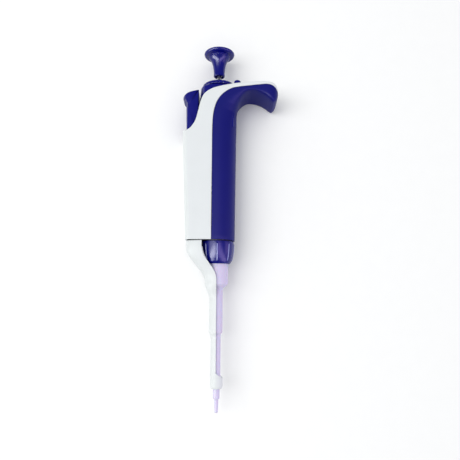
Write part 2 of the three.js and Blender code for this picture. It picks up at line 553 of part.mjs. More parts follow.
// ---------------------------------------------------------------------------- ejector
// The button's side outline: a block with a sloping thumb pad that overhangs the handle.
function ejectorButton() {
  const shape = new THREE.Shape();
  shape.moveTo(-EJECT_INNER, EJECT_BLOCK_BOTTOM);
  shape.lineTo(-EJECT_INNER, EJECT_TOP_HIGH);
  shape.quadraticCurveTo(-18.5, EJECT_TOP_HIGH - 0.7, -EJECT_LIP, EJECT_TOP_LOW);
  shape.quadraticCurveTo(-EJECT_LIP - 0.2, EJECT_TOP_LOW - LIP_THICKNESS, -EJECT_LIP + 1.4,
    EJECT_TOP_LOW - LIP_THICKNESS - 0.5);
  shape.lineTo(-EJECT_FACE - 0.5, EJECT_TOP_LOW - LIP_THICKNESS - 0.9);
  shape.lineTo(-EJECT_FACE + 0.1, EJECT_BLOCK_BOTTOM);
  const side = acrossWidth(shape, EJECT_HALF, 6);
  const plan = new THREE.Shape();
  plan.moveTo(-EJECT_INNER + 1, -EJECT_HALF);
  plan.lineTo(-EJECT_INNER + 1, EJECT_HALF);
  plan.lineTo(-EJECT_FACE + 3, EJECT_HALF);
  plan.quadraticCurveTo(-EJECT_LIP - 0.4, EJECT_HALF, -EJECT_LIP - 0.4, 0);
  plan.quadraticCurveTo(-EJECT_LIP - 0.4, -EJECT_HALF, -EJECT_FACE + 3, -EJECT_HALF);
  const pad = alongAxis(plan, EJECT_TOP_LOW - LIP_THICKNESS - 2, EJECT_TOP_HIGH + 2, 8);
  const stem = alongAxis(roundedPlan(-EJECT_FACE, -EJECT_INNER, EJECT_HALF, 3),
    EJECT_BLOCK_BOTTOM - 1, EJECT_TOP_LOW - LIP_THICKNESS - 1.9, 5);
  const socket = rod(EJECT_ROD_R + GAP, 100, EJECT_BLOCK_BOTTOM + 6, 18)
    .translate([EJECT_ROD_X, 0, EJECT_ROD_Z - 1]);
  const recess = box(-EJECT_FACE + 2, -EJECT_INNER - 1.8, 100, 199, -7.5, 5.2);
  return side.intersect(pad.add(stem)).subtract(socket).subtract(recess);
}
function roundedPlan(x0, x1, half, corner) {
  const shape = new THREE.Shape();
  shape.moveTo(x1, -half);
  shape.lineTo(x1, half);
  shape.lineTo(x0 + corner, half);
  shape.quadraticCurveTo(x0, half, x0, half - corner);
  shape.lineTo(x0, -half + corner);
  shape.quadraticCurveTo(x0, -half, x0 + corner, -half);
  return shape;
}
const ejectRodZ = EJECT_ROD_Z - 1;
function ejectorRod() {
  return rod(EJECT_ROD_R, FOOT_BOTTOM + 1, EJECT_BLOCK_BOTTOM + 5, 16)
    .translate([EJECT_ROD_X, 0, ejectRodZ]);
}
function ejectorFoot() {
  const bar = box(-18.2, -12, FOOT_BOTTOM, FOOT_BOTTOM + FOOT_HEIGHT, -3.6, ejectRodZ + 1.8);
  const post = rod(POST_R, ARM_TOP - ARM_DECK + 0.8, FOOT_BOTTOM + 1, 20)
    .translate([POST_X, 0, 0]);
  const socket = rod(EJECT_ROD_R + 0.1, FOOT_BOTTOM + 0.9, 200, 16)
    .translate([EJECT_ROD_X, 0, ejectRodZ]);
  return bar.add(post).subtract(socket);
}
// The arm's half width, depth behind the axis and squareness at a station.
function armForm(y) {
  const blend = (low, high) => THREE.MathUtils.smoothstep(y, low, high);
  const tubeR = ARM_LOWER_R + (ARM_MIDDLE_R - ARM_LOWER_R) * blend(LOWER_TOP - 3, LOWER_TOP + 1);
  const waist = tubeR + (ARM_WAIST_R - ARM_MIDDLE_R) * blend(70, ARM_WAIST - 1);
  const top = blend(ARM_WAIST, 103);
  const half = waist + (HALF_WIDTH - 1.2 - ARM_WAIST_R) * top;
  const back = waist + (BACK_LOW - 0.2 - ARM_WAIST_R) * blend(ARM_WAIST, 102);
  return { half, back, power: 2 + 3 * top };
}
const ARM_SIDES = 28;
function armRing(y, inset) {
  const { half, back, power } = armForm(y);
  return Array.from({ length: ARM_SIDES }, (_, i) => {
    const angle = (2 * Math.PI * i) / ARM_SIDES;
    const c = Math.cos(angle), s = Math.sin(angle);
    if (c >= 0) return new THREE.Vector3((half - inset) * c, y, (half - inset) * s);
    const squared = 2 / power;
    return new THREE.Vector3(-(back - inset) * Math.abs(c) ** squared, y,
      (half - inset) * Math.sign(s) * Math.abs(s) ** squared);
  });
}
function ejectorArm() {
  const stations = [SLEEVE_END + 1.3, 30, LOWER_TOP - 3, LOWER_TOP - 1, LOWER_TOP + 1, 70, 74, 78,
    ARM_WAIST, 86, 90, 94, 98, 101, ARM_TOP];
  const foot = armRing(SLEEVE_END, 0.9);
  const outer = loft([foot, ...stations.map((y) => armRing(y, 0))]);
  const inner = loft([SLEEVE_END - 2, 30, LOWER_TOP - 3, LOWER_TOP + 1, 70, 74, 78, ARM_WAIST, 86,
    90, 94, 98, ARM_TOP - ARM_DECK].map((y) => armRing(y, ARM_WALL)));
  const edge = smooth([[ARM_EDGE, 76], [ARM_EDGE - 0.3, 84.5], [-4.8, 92], [-8.4, 97],
    [-9.7, 101]], 14);
  const region = acrossWidth(polygon([
    [-FAR, 0], [FAR, 0], [FAR, RING_RIGHT - 1], [ARM_LOWER_R + 1, RING_RIGHT - 0.6],
    [ARM_EDGE, RING_LEFT], ...edge, [-9.9, ARM_TOP + 5], [-FAR, ARM_TOP + 5],
  ]), FAR);
  const clearance = turned([
    [0, 0], [LOWER_R + 0.35, 0], [LOWER_R + 0.35, LOWER_TOP - 1 - EJECT_TRAVEL],
    [LOWER_R + 0.45, LOWER_TOP - 1], [MIDDLE_R + 0.35, LOWER_TOP],
    [MIDDLE_R + 0.35, MIDDLE_TOP - 0.8], [BARREL_R + 0.3, MIDDLE_TOP + MIDDLE_STEP - 0.4],
    [BARREL_R + 0.4, NUT_BOTTOM - 3], [NUT_R + 0.65, NUT_BOTTOM - 1], [NUT_R + 0.65, 130], [0, 130],
  ], 32);
  const postSocket = rod(POST_R + 0.1, ARM_TOP - ARM_DECK + 0.5, 120, 20)
    .translate([POST_X, 0, 0]);
  return outer.subtract(inner).subtract(clearance).intersect(region).subtract(postSocket);
}

// ---------------------------------------------------------------------------- assembly
const group = new THREE.Group();
const SLIVER = 0.004; // edges shorter than this are closed up
function add(name, solid, material) {
  const mesh = new THREE.Mesh(geometryOf(solid.simplify(SLIVER)), material);
  mesh.name = name;
  group.add(mesh);
}

add("front_grip", frontGrip(), blueSoft);
add("rear_cover", rearCover(), whiteShell);
add("top_collar", topCollar(), blueGloss);
add("calibration_cover", calibrationPlug(0), blueGloss);
add("window_lens", windowCut(GAP), clear);
add("base_plate", basePlate(), black);
add("shaft_adapter", shaftAdapter(), black);
add("counter_frame", counterFrame(), black);
add("lead_nut", leadNut(), brass);
add("pinion_axle",
  rod(PINION_AXLE_R, frameBottom, frameTop + 1.6, 10).translate([axleX, 0, pinionZ]), steel);
add("frame_screw_upper", frameScrew(SCREW_STATIONS[0]), steel);
add("frame_screw_lower", frameScrew(SCREW_STATIONS[1]), steel);

add("coupling_nut", couplingNut(), blueGloss);
add("shaft", shaft(), lavender);
add("shaft_o_ring", tube(8.1, 7, FLANGE_TOP + 0.2, FLANGE_TOP + 0.8, 28), rubber);
add("piston_seal", tube(sealRoom, PISTON_R + 0.1, CHAMBER_FLOOR + 0.2, CHAMBER_FLOOR + 2.6, 24),
  natural);
add("seal_o_ring", tube(sealRoom, PISTON_R + 0.8, CHAMBER_FLOOR + 2.9, CHAMBER_FLOOR + 4.6, 24),
  rubber);
add("seal_retainer", turned([
  [PISTON_R + 0.4, CHAMBER_FLOOR + 4.9], [sealRoom, CHAMBER_FLOOR + 4.9],
  [sealRoom, CHAMBER_FLOOR + 7], [2.6, CHAMBER_FLOOR + 7], [2.6, CHAMBER_FLOOR + 10],
  [PISTON_R + 0.4, CHAMBER_FLOOR + 10],
], 24), natural);
add("primary_spring", spring(3.6, 0.35, CHAMBER_FLOOR + 7.3, pistonHeadBottom + 0.7, 12), steel);
add("blowout_spring", spring(6.2, 0.5, FLANGE_TOP + 4.5, stopTop - 2.3, 5), steel);
add("ejector_spring",
  spring(3.4, 0.4, HANDLE_BOTTOM + 2.5, FOOT_BOTTOM - 0.3, 5).translate([POST_X, 0, 0]), steel);

add("stop_sleeve", stopSleeve(), natural);
add("plunger_button", plungerButton(), blueGloss);
add("button_cap", buttonCap(), blueGloss);
add("push_rod", pushRod(), steel);
add("rod_collar", rodCollar(), natural);
add("piston_head", pistonHead(), natural);
add("piston", piston(), steel);

add("thumbwheel", thumbwheel(), blueGloss);
add("wheel_sleeve", wheelSleeve(), natural);
add("drive_gear", driveGear(), natural);
add("stop_washer", stopWasher(), steel);
add("volume_spindle", volumeSpindle(), brass);
add("counter_axle",
  rod(AXLE_R, frameBottom, frameTop + 1.6, 14).translate([axleX, 0, 0]), steel);
add("counter_gear", gear(COUNTER_TEETH, GEAR_MODULE, AXLE_R + 0.1, GEAR_BOTTOM, GEAR_HEIGHT,
  axleX, 0, Math.PI / COUNTER_TEETH), natural);
["drum_tenths", "drum_units", "drum_tens"].forEach((name, place) => {
  add(name, drum(place, AXLE_R + 0.1), black);
});
add("carry_pinion_lower", carryPinion(1), natural);
add("carry_pinion_upper", carryPinion(2), natural);

add("ejector_button", ejectorButton(), blueGloss);
add("ejector_rod", ejectorRod(), steel);
add("ejector_foot", ejectorFoot(), natural);
add("ejector_arm", ejectorArm(), whiteArm);

// The origin is the middle of the underside of the whole pipette, lying on its flank.
const bounds = new THREE.Box3().setFromObject(group);
const middle = bounds.getCenter(new THREE.Vector3());
group.position.set(-middle.x, -middle.y, -bounds.min.z);

export default group;
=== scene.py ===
import bmesh
import bpy
import numpy as np
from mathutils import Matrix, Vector


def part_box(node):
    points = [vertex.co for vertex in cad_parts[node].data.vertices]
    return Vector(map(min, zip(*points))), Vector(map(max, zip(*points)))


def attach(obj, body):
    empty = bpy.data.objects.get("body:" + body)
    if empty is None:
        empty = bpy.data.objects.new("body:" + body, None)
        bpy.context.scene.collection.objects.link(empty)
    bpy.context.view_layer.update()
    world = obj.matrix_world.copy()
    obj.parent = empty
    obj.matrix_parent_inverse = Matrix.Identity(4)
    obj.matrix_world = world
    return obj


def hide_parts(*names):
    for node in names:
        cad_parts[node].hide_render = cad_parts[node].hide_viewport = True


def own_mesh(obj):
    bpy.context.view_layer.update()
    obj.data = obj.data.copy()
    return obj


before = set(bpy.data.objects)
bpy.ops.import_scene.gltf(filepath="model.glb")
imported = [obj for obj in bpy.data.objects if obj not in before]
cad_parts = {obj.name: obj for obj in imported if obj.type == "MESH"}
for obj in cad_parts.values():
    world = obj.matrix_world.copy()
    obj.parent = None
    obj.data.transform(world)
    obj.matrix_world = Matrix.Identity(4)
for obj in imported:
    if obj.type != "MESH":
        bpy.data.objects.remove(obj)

bl_info = {
    "name": "Adjustable pipette",
    "version": (1, 0, 0),
    "blender": (4, 5, 0),
    "location": "View3D > Sidebar > Pipette",
    "description": "Builds the shells, buttons, shaft and mechanism of a hand pipette",
    "category": "Add Mesh",
}

# Every shape is worked out in millimetres about the plunger axis: x to the finger hook,
# y up from the nozzle end, z out of the flank. placed() carries it to the frame, in metres.
MM = 0.001
shaft_low, shaft_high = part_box("shaft")
ORIGIN = np.array([
    (shaft_low.x + shaft_high.x) / 2, shaft_low.y, (shaft_low.z + shaft_high.z) / 2])


def placed(points):
    """Places about the plunger axis in millimetres, as places in the frame in metres."""
    return np.asarray(points, float) * MM + ORIGIN


def span(node):
    """Lowest and highest corner of a CAD node, in millimetres about the plunger axis."""
    low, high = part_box(node)
    return (np.array(low) - ORIGIN) / MM, (np.array(high) - ORIGIN) / MM


# ------------------------------------------------------------------ sizes from the frame
HANDLE_BOTTOM = span("rear_cover")[0][1]
HOOK_END = span("rear_cover")[1][0]
HALF_WIDTH = span("rear_cover")[1][2]
HOOK_TOP = 212.0
BACK_LOW, BACK_HIGH, BACK_HIGH_AT = 20.4, 23.4, 182.0
BACK_SLOPE = (BACK_HIGH - BACK_LOW) / (BACK_HIGH_AT - HANDLE_BOTTOM)
BACK_CORNER = 3.0
SEAM_X = -3.7
FLANK_SHARE = 0.25
WINDOW_GAP, WHEEL_GAP = 0.3, 0.65
WINDOW_LOW, WINDOW_HIGH = span("window_lens")
NUT_BOTTOM, NUT_TOP = span("coupling_nut")[0][1], span("coupling_nut")[1][1]
NUT_R = 10.9
BARREL_R, FLANGE_R, FLANGE_BOTTOM, FLANGE_TOP = 7.0, 8.2, 96.5, 98.7
ADAPTER_R = 8.9
BUTTON_TOP = span("plunger_button")[1][1]
BUTTON_BOTTOM = span("plunger_button")[0][1]
BUTTON_R = span("plunger_button")[1][0]
WHEEL_R = span("thumbwheel")[1][0]
WHEEL_TOP = span("thumbwheel")[1][1]
WHEEL_BOTTOM = WHEEL_TOP - 2.8
HUB_BOTTOM = span("thumbwheel")[0][1]
ARM_TOP = span("ejector_arm")[1][1]
SLEEVE_END = span("ejector_arm")[0][1]
DRUM_X = (span("drum_tenths")[0][0] + span("drum_tenths")[1][0]) / 2
DRUM_R = (span("drum_tenths")[1][0] - span("drum_tenths")[0][0]) / 2
DIGITS = 10


def linear(hex_colour):
    """An sRGB hex colour as linear red, green and blue."""
    c = np.array([int(hex_colour[i:i + 2], 16) for i in (1, 3, 5)]) / 255
    return tuple(np.where(c <= 0.04045, c / 12.92, ((c + 0.055) / 1.055) ** 2.4))


class PipetteColours(bpy.types.PropertyGroup):
    """Colours of the moulded plastics."""
    gloss: bpy.props.FloatVectorProperty(
        name="Buttons and nut", description="Polished blue ABS", subtype="COLOR",
        default=linear("#020670"), min=0, max=1)
    grip: bpy.props.FloatVectorProperty(
        name="Front grip", description="Soft-touch blue coating", subtype="COLOR",
        default=linear("#0B0F6A"), min=0, max=1)
    shell: bpy.props.FloatVectorProperty(
        name="Rear cover", description="White moulded shell", subtype="COLOR",
        default=linear("#D9DDDD"), min=0, max=1)
    shaft: bpy.props.FloatVectorProperty(
        name="Shaft", description="Pale lavender shaft", subtype="COLOR",
        default=linear("#CDC6E0"), min=0, max=1)


class PipetteSizes(bpy.types.PropertyGroup):
    """Sizes of the shells' edges and joints."""
    wall: bpy.props.FloatProperty(
        name="Shell wall", description="Thickness of the two shells",
        default=1.5 * MM, min=0.8 * MM, max=2 * MM, unit="LENGTH")
    seam: bpy.props.FloatProperty(
        name="Seam", description="Gap between the front grip and the rear cover",
        default=0.3 * MM, min=0, max=1 * MM, unit="LENGTH")
    edge: bpy.props.FloatProperty(
        name="Edge", description="Rounding of the shells' free edges",
        default=0.25 * MM, min=0.05 * MM, max=0.6 * MM, unit="LENGTH")
    rib: bpy.props.FloatProperty(
        name="Rib", description="Height of the ribs on the coupling nut",
        default=0.35 * MM, min=0, max=0.6 * MM, unit="LENGTH")


# ---------------------------------------------------------------------------- materials
def node(tree, kind, settings=None, links=None):
    """Adds a node. Settings are attributes, or inputs by name; links go from a socket to
    an input of the new node."""
    made = tree.nodes.new(kind)
    for key, value in (settings or {}).items():
        if hasattr(made, key):
            setattr(made, key, value)
        else:
            made.inputs[key].default_value = value
    for key, socket in (links or {}).items():
        tree.links.new(socket, made.inputs[key])
    return made


def finish(name, base, metallic, roughness, ior=None, **more):
    """A material with one Principled shader, its tree, that shader and the object's own
    coordinates, which are in metres: a pattern of p millimetres has scale 1 / (p * MM)."""
    material = bpy.data.materials.new(name)
    material.use_nodes = True
    tree = material.node_tree
    shader = tree.nodes["Principled BSDF"]
    shader.inputs["Base Color"].default_value = (*base, 1)
    shader.inputs["Metallic"].default_value = metallic
    shader.inputs["Roughness"].default_value = roughness
    if ior:
        shader.inputs["IOR"].default_value = ior
    for key, value in more.items():
        label = key.replace("_", " ").title().replace("Ior", "IOR")
        shader.inputs[label].default_value = value
    place = node(tree, "ShaderNodeTexCoord").outputs["Object"]
    return material, tree, shader, place


def moulded(name, base, roughness, ior, grain, depth, shade=0.06, **more):
    """Injection-moulded plastic. Flow and mould texture give a slight unevenness of tone
    over about a centimetre and a fine grain of the given size, in millimetres, that breaks
    up the highlights."""
    material, tree, shader, place = finish(name, base, 0, roughness, ior, **more)
    flow = node(tree, "ShaderNodeTexNoise", {"Scale": 1 / (9 * MM), "Detail": 2.0},
                {"Vector": place})
    tone = node(tree, "ShaderNodeMix", {"data_type": "RGBA"}, {"Factor": flow.outputs["Fac"]})
    tone.inputs["A"].default_value = (*(np.array(base) * (1 - shade)), 1)
    tone.inputs["B"].default_value = (*np.minimum(np.array(base) * (1 + shade), 1), 1)
    tree.links.new(tone.outputs["Result"], shader.inputs["Base Color"])
    fine = node(tree, "ShaderNodeTexNoise", {"Scale": 1 / (grain * MM), "Detail": 3.0},
                {"Vector": place})
    rough = node(tree, "ShaderNodeMapRange",
                 {"To Min": roughness * 0.85, "To Max": roughness * 1.15},
                 {"Value": fine.outputs["Fac"]})
    tree.links.new(rough.outputs["Result"], shader.inputs["Roughness"])
    bump = node(tree, "ShaderNodeBump", {"Strength": 0.35, "Distance": depth * MM},
                {"Height": fine.outputs["Fac"]})
    tree.links.new(bump.outputs["Normal"], shader.inputs["Normal"])
    return material


def turned_metal(name, base, roughness, pitch, depth, along=(1, 1, 1)):
    """Turned or drawn metal: fine lines a pitch apart, in millimetres, drawn coarser than
    the real 0.05 mm so that they show, with the tone changing a little from line to line."""
    material, tree, shader, place = finish(name, base, 1, roughness)
    stretched = node(tree, "ShaderNodeMapping", {"vector_type": "POINT"}, {"Vector": place})
    stretched.inputs["Scale"].default_value = along
    lines = node(tree, "ShaderNodeTexNoise", {"Scale": 1 / (pitch * MM), "Detail": 4.0},
                 {"Vector": stretched.outputs["Vector"]})
    tone = node(tree, "ShaderNodeMix", {"data_type": "RGBA"}, {"Factor": lines.outputs["Fac"]})
    tone.inputs["A"].default_value = (*(np.array(base) * 0.85), 1)
    tone.inputs["B"].default_value = (*np.minimum(np.array(base) * 1.1, 1), 1)
    tree.links.new(tone.outputs["Result"], shader.inputs["Base Color"])
    rough = node(tree, "ShaderNodeMapRange",
                 {"To Min": roughness * 0.7, "To Max": roughness * 1.3},
                 {"Value": lines.outputs["Fac"]})
    tree.links.new(rough.outputs["Result"], shader.inputs["Roughness"])
    bump = node(tree, "ShaderNodeBump", {"Strength": 0.3, "Distance": depth * MM},
                {"Height": lines.outputs["Fac"]})
    tree.links.new(bump.outputs["Normal"], shader.inputs["Normal"])
    return material


MATERIALS = {}


def mix_materials(colours):
    """Every finish on the pipette."""
    # Polished ABS: clear, fairly sharp highlights over a deep even blue.
    MATERIALS["gloss_abs"] = moulded(
        "abs_polished", colours.gloss, 0.24, 1.54, 0.6, 0.0015, specular_ior_level=0.3)
    # The same ABS on the nut, with a painted highlight: the rib crests are painted a paler
    # lavender-grey where the lamps would catch them.
    MATERIALS["ribbed_abs"] = ribbed = moulded(
        "abs_polished_ribbed", colours.gloss, 0.24, 1.54, 0.6, 0.0015, specular_ior_level=0.3)
    tree = ribbed.node_tree
    shader = tree.nodes["Principled BSDF"]
    plain = shader.inputs["Base Color"].links[0].from_socket
    painted_crest_highlight = node(tree, "ShaderNodeMix", {"data_type": "RGBA"})
    # Painted highlight: this paler lavender-grey stands in for the lamps' glint along the rib crests.
    painted_crest_highlight.inputs["B"].default_value = (*linear("#8C93CC"), 1)
    crest_highlight = node(tree, "ShaderNodeAttribute", {"attribute_name": "crest_highlight"})
    tree.links.new(crest_highlight.outputs["Fac"], painted_crest_highlight.inputs["Factor"])
    tree.links.new(plain, painted_crest_highlight.inputs["A"])
    tree.links.new(painted_crest_highlight.outputs["Result"], shader.inputs["Base Color"])
    # Soft-touch coating on polycarbonate: broad, dull highlights and a fine even grain.
    MATERIALS["soft_touch"] = moulded(
        "polycarbonate_soft_touch", colours.grip, 0.42, 1.4, 0.35, 0.012,
        specular_ior_level=0.18)
    # White ABS from a satin mould: soft highlights, nearly even white.
    MATERIALS["white_abs"] = moulded(
        "abs_satin_white", colours.shell, 0.38, 1.54, 0.5, 0.006, shade=0.02,
        specular_ior_level=0.08)
    # Polyvinylidene fluoride shaft: waxy, slightly see-through lavender.
    MATERIALS["lavender_pvdf"] = moulded(
        "pvdf_lavender", colours.shaft, 0.36, 1.42, 0.5, 0.004, shade=0.02,
        specular_ior_level=0.25,
        subsurface_weight=0.15, subsurface_scale=1.2 * MM)
    # Glass-filled nylon: dull black with a coarse grain.
    MATERIALS["black_nylon"] = moulded(
        "nylon_glass_filled", linear("#1A1B1E"), 0.6, 1.53, 0.4, 0.02, shade=0.2)
    # Acetal, machined or moulded: creamy white, slightly waxy.
    MATERIALS["acetal"] = moulded(
        "acetal_natural", linear("#D9D6CC"), 0.42, 1.48, 0.7, 0.006, shade=0.04,
        subsurface_weight=0.1, subsurface_scale=1 * MM)
    # Black ABS drums under printed figures.
    MATERIALS["drum_abs"] = moulded(
        "abs_drum_black", linear("#131418"), 0.4, 1.54, 0.4, 0.006, shade=0.15)
    # Pad-printing ink: flat, warm white with a little unevenness.
    MATERIALS["ink"] = moulded(
        "pad_ink_white", linear("#F2F1EA"), 0.6, 1.5, 0.15, 0.004, shade=0.05)
    # Nitrile rubber, moulded: dull, nearly black.
    MATERIALS["nitrile"] = moulded(
        "nitrile_moulded", linear("#18181A"), 0.75, 1.52, 0.25, 0.02, shade=0.25)
    # Clear polycarbonate window, with a trace of moulding ripple.
    window, tree, shader, place = finish(
        "polycarbonate_clear", linear("#F4F7FA"), 0, 0.04, 1.58, transmission_weight=1.0)
    ripple = node(tree, "ShaderNodeTexNoise", {"Scale": 1 / (4 * MM), "Detail": 1.0},
                  {"Vector": place})
    bump = node(tree, "ShaderNodeBump", {"Strength": 0.2, "Distance": 0.01 * MM},
                {"Height": ripple.outputs["Fac"]})
    tree.links.new(bump.outputs["Normal"], shader.inputs["Normal"])
    MATERIALS["window"] = window
    # Stainless steel, ground along its length: bright, with fine streaks.
    MATERIALS["ground_steel"] = turned_metal(
        "stainless_ground", linear("#C9CACC"), 0.22, 0.25, 0.004, along=(1, 0.04, 1))
    # Spring steel, drawn: greyer, with streaks along the wire.
    MATERIALS["spring_steel"] = turned_metal(
        "spring_steel_drawn", linear("#A9ABB0"), 0.3, 0.2, 0.006)
    # Brass, turned: warm yellow with rings from the tool.
    MATERIALS["turned_brass"] = turned_metal(
        "brass_turned", linear("#C8A24C"), 0.3, 0.3, 0.008, along=(0.05, 1, 0.05))


# ------------------------------------------------------------------------- surface tools
def follow(stations, t):
    """Places on a smooth line through the stations. t is 0 at the first and grows by 1 to
    each next one; each stretch is a cubic whose end slopes weigh its neighbours by length."""
    p = np.asarray(stations, float)
    step = np.diff(p, axis=0)
    length = np.maximum(np.linalg.norm(step, axis=1), 1e-9)[:, None]
    slope = step / length
    inner = (slope[:-1] * length[1:] + slope[1:] * length[:-1]) / (length[:-1] + length[1:])
    tangent = np.vstack([slope[:1], inner, slope[-1:]])
    i = np.clip(t.astype(int), 0, len(p) - 2)
    f, reach = (t - i)[:, None], length[i]
    return ((2 * f**3 - 3 * f**2 + 1) * p[i] + (3 * f**2 - 2 * f**3) * p[i + 1]
            + (f**3 - 2 * f**2 + f) * reach * tangent[i]
            + (f**3 - f**2) * reach * tangent[i + 1])


def eased(corners, closed=True, steps=6):
    """An outline through corners (a, b, ease): straight runs, with each corner eased by a
    parabola that starts and ends ease millimetres away, and extra places close to the ends
    of each run so that it shades flat."""
    c = np.asarray(corners, float)
    p, ease = c[:, :2], c[:, 2]
    back, ahead = np.roll(p, 1, 0) - p, np.roll(p, -1, 0) - p
    lb, la = np.linalg.norm(back, axis=1), np.linalg.norm(ahead, axis=1)
    a = p + back * (np.minimum(ease, 0.48 * lb) / np.maximum(lb, 1e-9))[:, None]
    b = p + ahead * (np.minimum(ease, 0.48 * la) / np.maximum(la, 1e-9))[:, None]
    t = np.linspace(0, 1, steps)[None, :, None]
    bend = (1 - t)**2 * a[:, None] + 2 * t * (1 - t) * p[:, None] + t**2 * b[:, None]
    f = np.array([0.03, 0.35, 0.65, 0.97])[None, :, None]
    run = b[:, None] + f * (np.roll(a, -1, 0) - b)[:, None]
    made = np.concatenate([bend, run], axis=1).reshape(-1, 2)
    return made if closed else made[:-f.size]


def smoothstep(x, low, high):
    """0 below low, 1 above high, and an even S between."""
    t = np.clip((x - low) / (high - low), 0, 1)
    return t * t * (3 - 2 * t)


def weld(mesh, closed=True):
    """Merges places closer than 0.008 mm and turns the faces of a closed mesh outwards."""
    form = bmesh.new()
    form.from_mesh(mesh)
    bmesh.ops.remove_doubles(form, verts=form.verts, dist=0.008 * MM)
    if closed:
        bmesh.ops.recalc_face_normals(form, faces=form.faces)
    form.to_mesh(mesh)
    form.free()


def skin(name, points, around=False, along=False, keep=None, outward=None):
    """A mesh over a grid of places, points[row, column]. around joins the last column to
    the first, along the last row to the first. Places that fall together are merged, so
    poles and seams close. keep says which faces stay. Without outward the shell is closed
    and its faces are turned outwards; with it they are turned away from that line."""
    rows, columns = points.shape[:2]
    index = np.arange(rows * columns).reshape(rows, columns)
    if along:
        index = np.vstack([index, index[:1]])
    if around:
        index = np.hstack([index, index[:, :1]])
    faces = np.stack([index[:-1, :-1], index[:-1, 1:], index[1:, 1:], index[1:, :-1]], -1)
    faces = faces[keep] if keep is not None else faces
    faces = faces.reshape(-1, 4)
    places = points.reshape(-1, 3)
    if outward is not None:
        corner = places[faces]
        normal = np.cross(corner[:, 2] - corner[:, 0], corner[:, 3] - corner[:, 1])
        away = corner.mean(1) - outward(corner.mean(1))
        if (normal * away)[:columns // 4].sum() < 0:
            faces = faces[:, ::-1]
    used, faces = np.unique(faces, return_inverse=True)
    mesh = bpy.data.meshes.new(name)
    mesh.from_pydata(placed(places[used]).tolist(), [], faces.reshape(-1, 4).tolist())
    weld(mesh, outward is None)
    piece = bpy.data.objects.new(name, mesh)
    bpy.context.scene.collection.objects.link(piece)
    return piece


def walled(piece, wall, edge):
    """Gives an open skin its wall, inwards, and rounds the free edges, then keeps the
    result as the mesh."""
    solid = piece.modifiers.new("wall", "SOLIDIFY")
    solid.thickness, solid.offset, solid.use_rim = wall, -1, True
    bevel = piece.modifiers.new("edge", "BEVEL")
    bevel.width, bevel.segments = edge, 2
    bevel.limit_method, bevel.angle_limit = "ANGLE", np.radians(55)
    ready = piece.evaluated_get(bpy.context.evaluated_depsgraph_get())
    made = bpy.data.meshes.new_from_object(ready)
    piece.modifiers.clear()
    piece.data = made
    return piece


def shown(piece, material, body, slot, *nodes, sharp=34):
    """Shades a finished piece, gives it its material and hands it to the frame."""
    mesh = piece.data
    mesh.polygons.foreach_set("use_smooth", np.ones(len(mesh.polygons), bool))
    mesh.set_sharp_from_angle(angle=np.radians(sharp))
    mesh.materials.clear()
    mesh.materials.append(MATERIALS[material])
    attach(piece, body)
    if nodes:
        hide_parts(*nodes)
    return piece


def lathe(profile, around=96, centre=(0, 0)):
    """A profile of (radius, y) turned about an axis through centre: x = r cos a,
    z = r sin a."""
    a = np.linspace(0, 2 * np.pi, around, endpoint=False)
    r, y = profile[:, :1], profile[:, 1:]
    return np.stack([centre[0] + r * np.cos(a), y + 0 * a, centre[1] + r * np.sin(a)], -1)


def turned(name, corners, around=96, centre=(0, 0), closed=True, steps=6):
    """A lathe piece from eased corners. An open profile starts and ends on the axis."""
    profile = eased(corners, closed, steps)
    return skin(name, lathe(profile, around, centre), around=True, along=closed)


def slab(outline, half_width, edge, across=24):
    """A closed side outline (x, y) carried across z, with rounded rims. Each ring starts at
    the middle of one side face, runs out over the rim, across the width and back in on the
    other side face; half_width(x, y) is the half width at a place."""
    ahead, back = np.roll(outline, -1, 0), np.roll(outline, 1, 0)
    tangent = ahead - back
    tangent = tangent / np.maximum(np.linalg.norm(tangent, axis=1), 1e-9)[:, None]
    inward = np.stack([-tangent[:, 1], tangent[:, 0]], 1)
    centre = outline.mean(0)
    if ((centre - outline) * inward).sum() < 0:
        inward = -inward
    turn = np.linspace(0, np.pi / 2, 6)
    rolled = outline[:, None] + inward[:, None] * (edge * (1 - np.sin(turn)))[None, :, None]
    drop = edge * (1 - np.cos(turn))
    share = np.array([0, 0.35, 0.7, 0.93])
    face = centre + (rolled[:, :1] - centre) * share[None, :, None]
    flat = np.repeat(outline[:, None], across // 2, 1)
    half = np.concatenate([face, rolled, flat], 1)
    width = half_width(half[..., 0], half[..., 1])
    fall = np.concatenate([0 * share, drop, np.full(across // 2, edge)])
    z = np.maximum(width - fall, 0.05)
    z[:, -(across // 2):] *= np.linspace(1, 0, across // 2 + 1)[1:]
    side = np.concatenate([half, z[..., None]], -1)
    other = side[:, -2::-1] * [1, 1, -1]
    return np.concatenate([side, other], 1)


def coil(radius, wire, low, high, turns, centre=(0, 0), per_turn=28, sides=10):
    """A compression spring: a helix whose pitch closes up over its end turns, with a round
    wire about it. The wire's section stands on the radius and on the helix's binormal."""
    t = np.linspace(0, 1, int(turns * per_turn))
    angle = 2 * np.pi * turns * t
    closed = 1 / turns
    rise = np.clip((t - closed) / (1 - 2 * closed), 0, 1)
    travel = high - low - 2 * wire - 4 * wire
    y = low + wire + 2 * wire * np.clip(t / closed, 0, 1) + travel * rise
    y = y + 2 * wire * np.clip((t - 1 + closed) / closed, 0, 1)
    radial = np.stack([np.cos(angle), 0 * t, np.sin(angle)], -1)
    line = radial * radius + np.stack([0 * t + centre[0], y, 0 * t + centre[1]], -1)
    tangent = np.gradient(line, axis=0)
    tangent /= np.linalg.norm(tangent, axis=1)[:, None]
    binormal = np.cross(tangent, radial)
    a = np.linspace(0, 2 * np.pi, sides, endpoint=False)[None, :, None]
    tube = line[:, None] + wire * (np.cos(a) * radial[:, None] + np.sin(a) * binormal[:, None])
    ends = [np.repeat(line[k][None, None], sides, 1) for k in (0, -1)]
    return np.concatenate([ends[0], tube, ends[1]], 0)


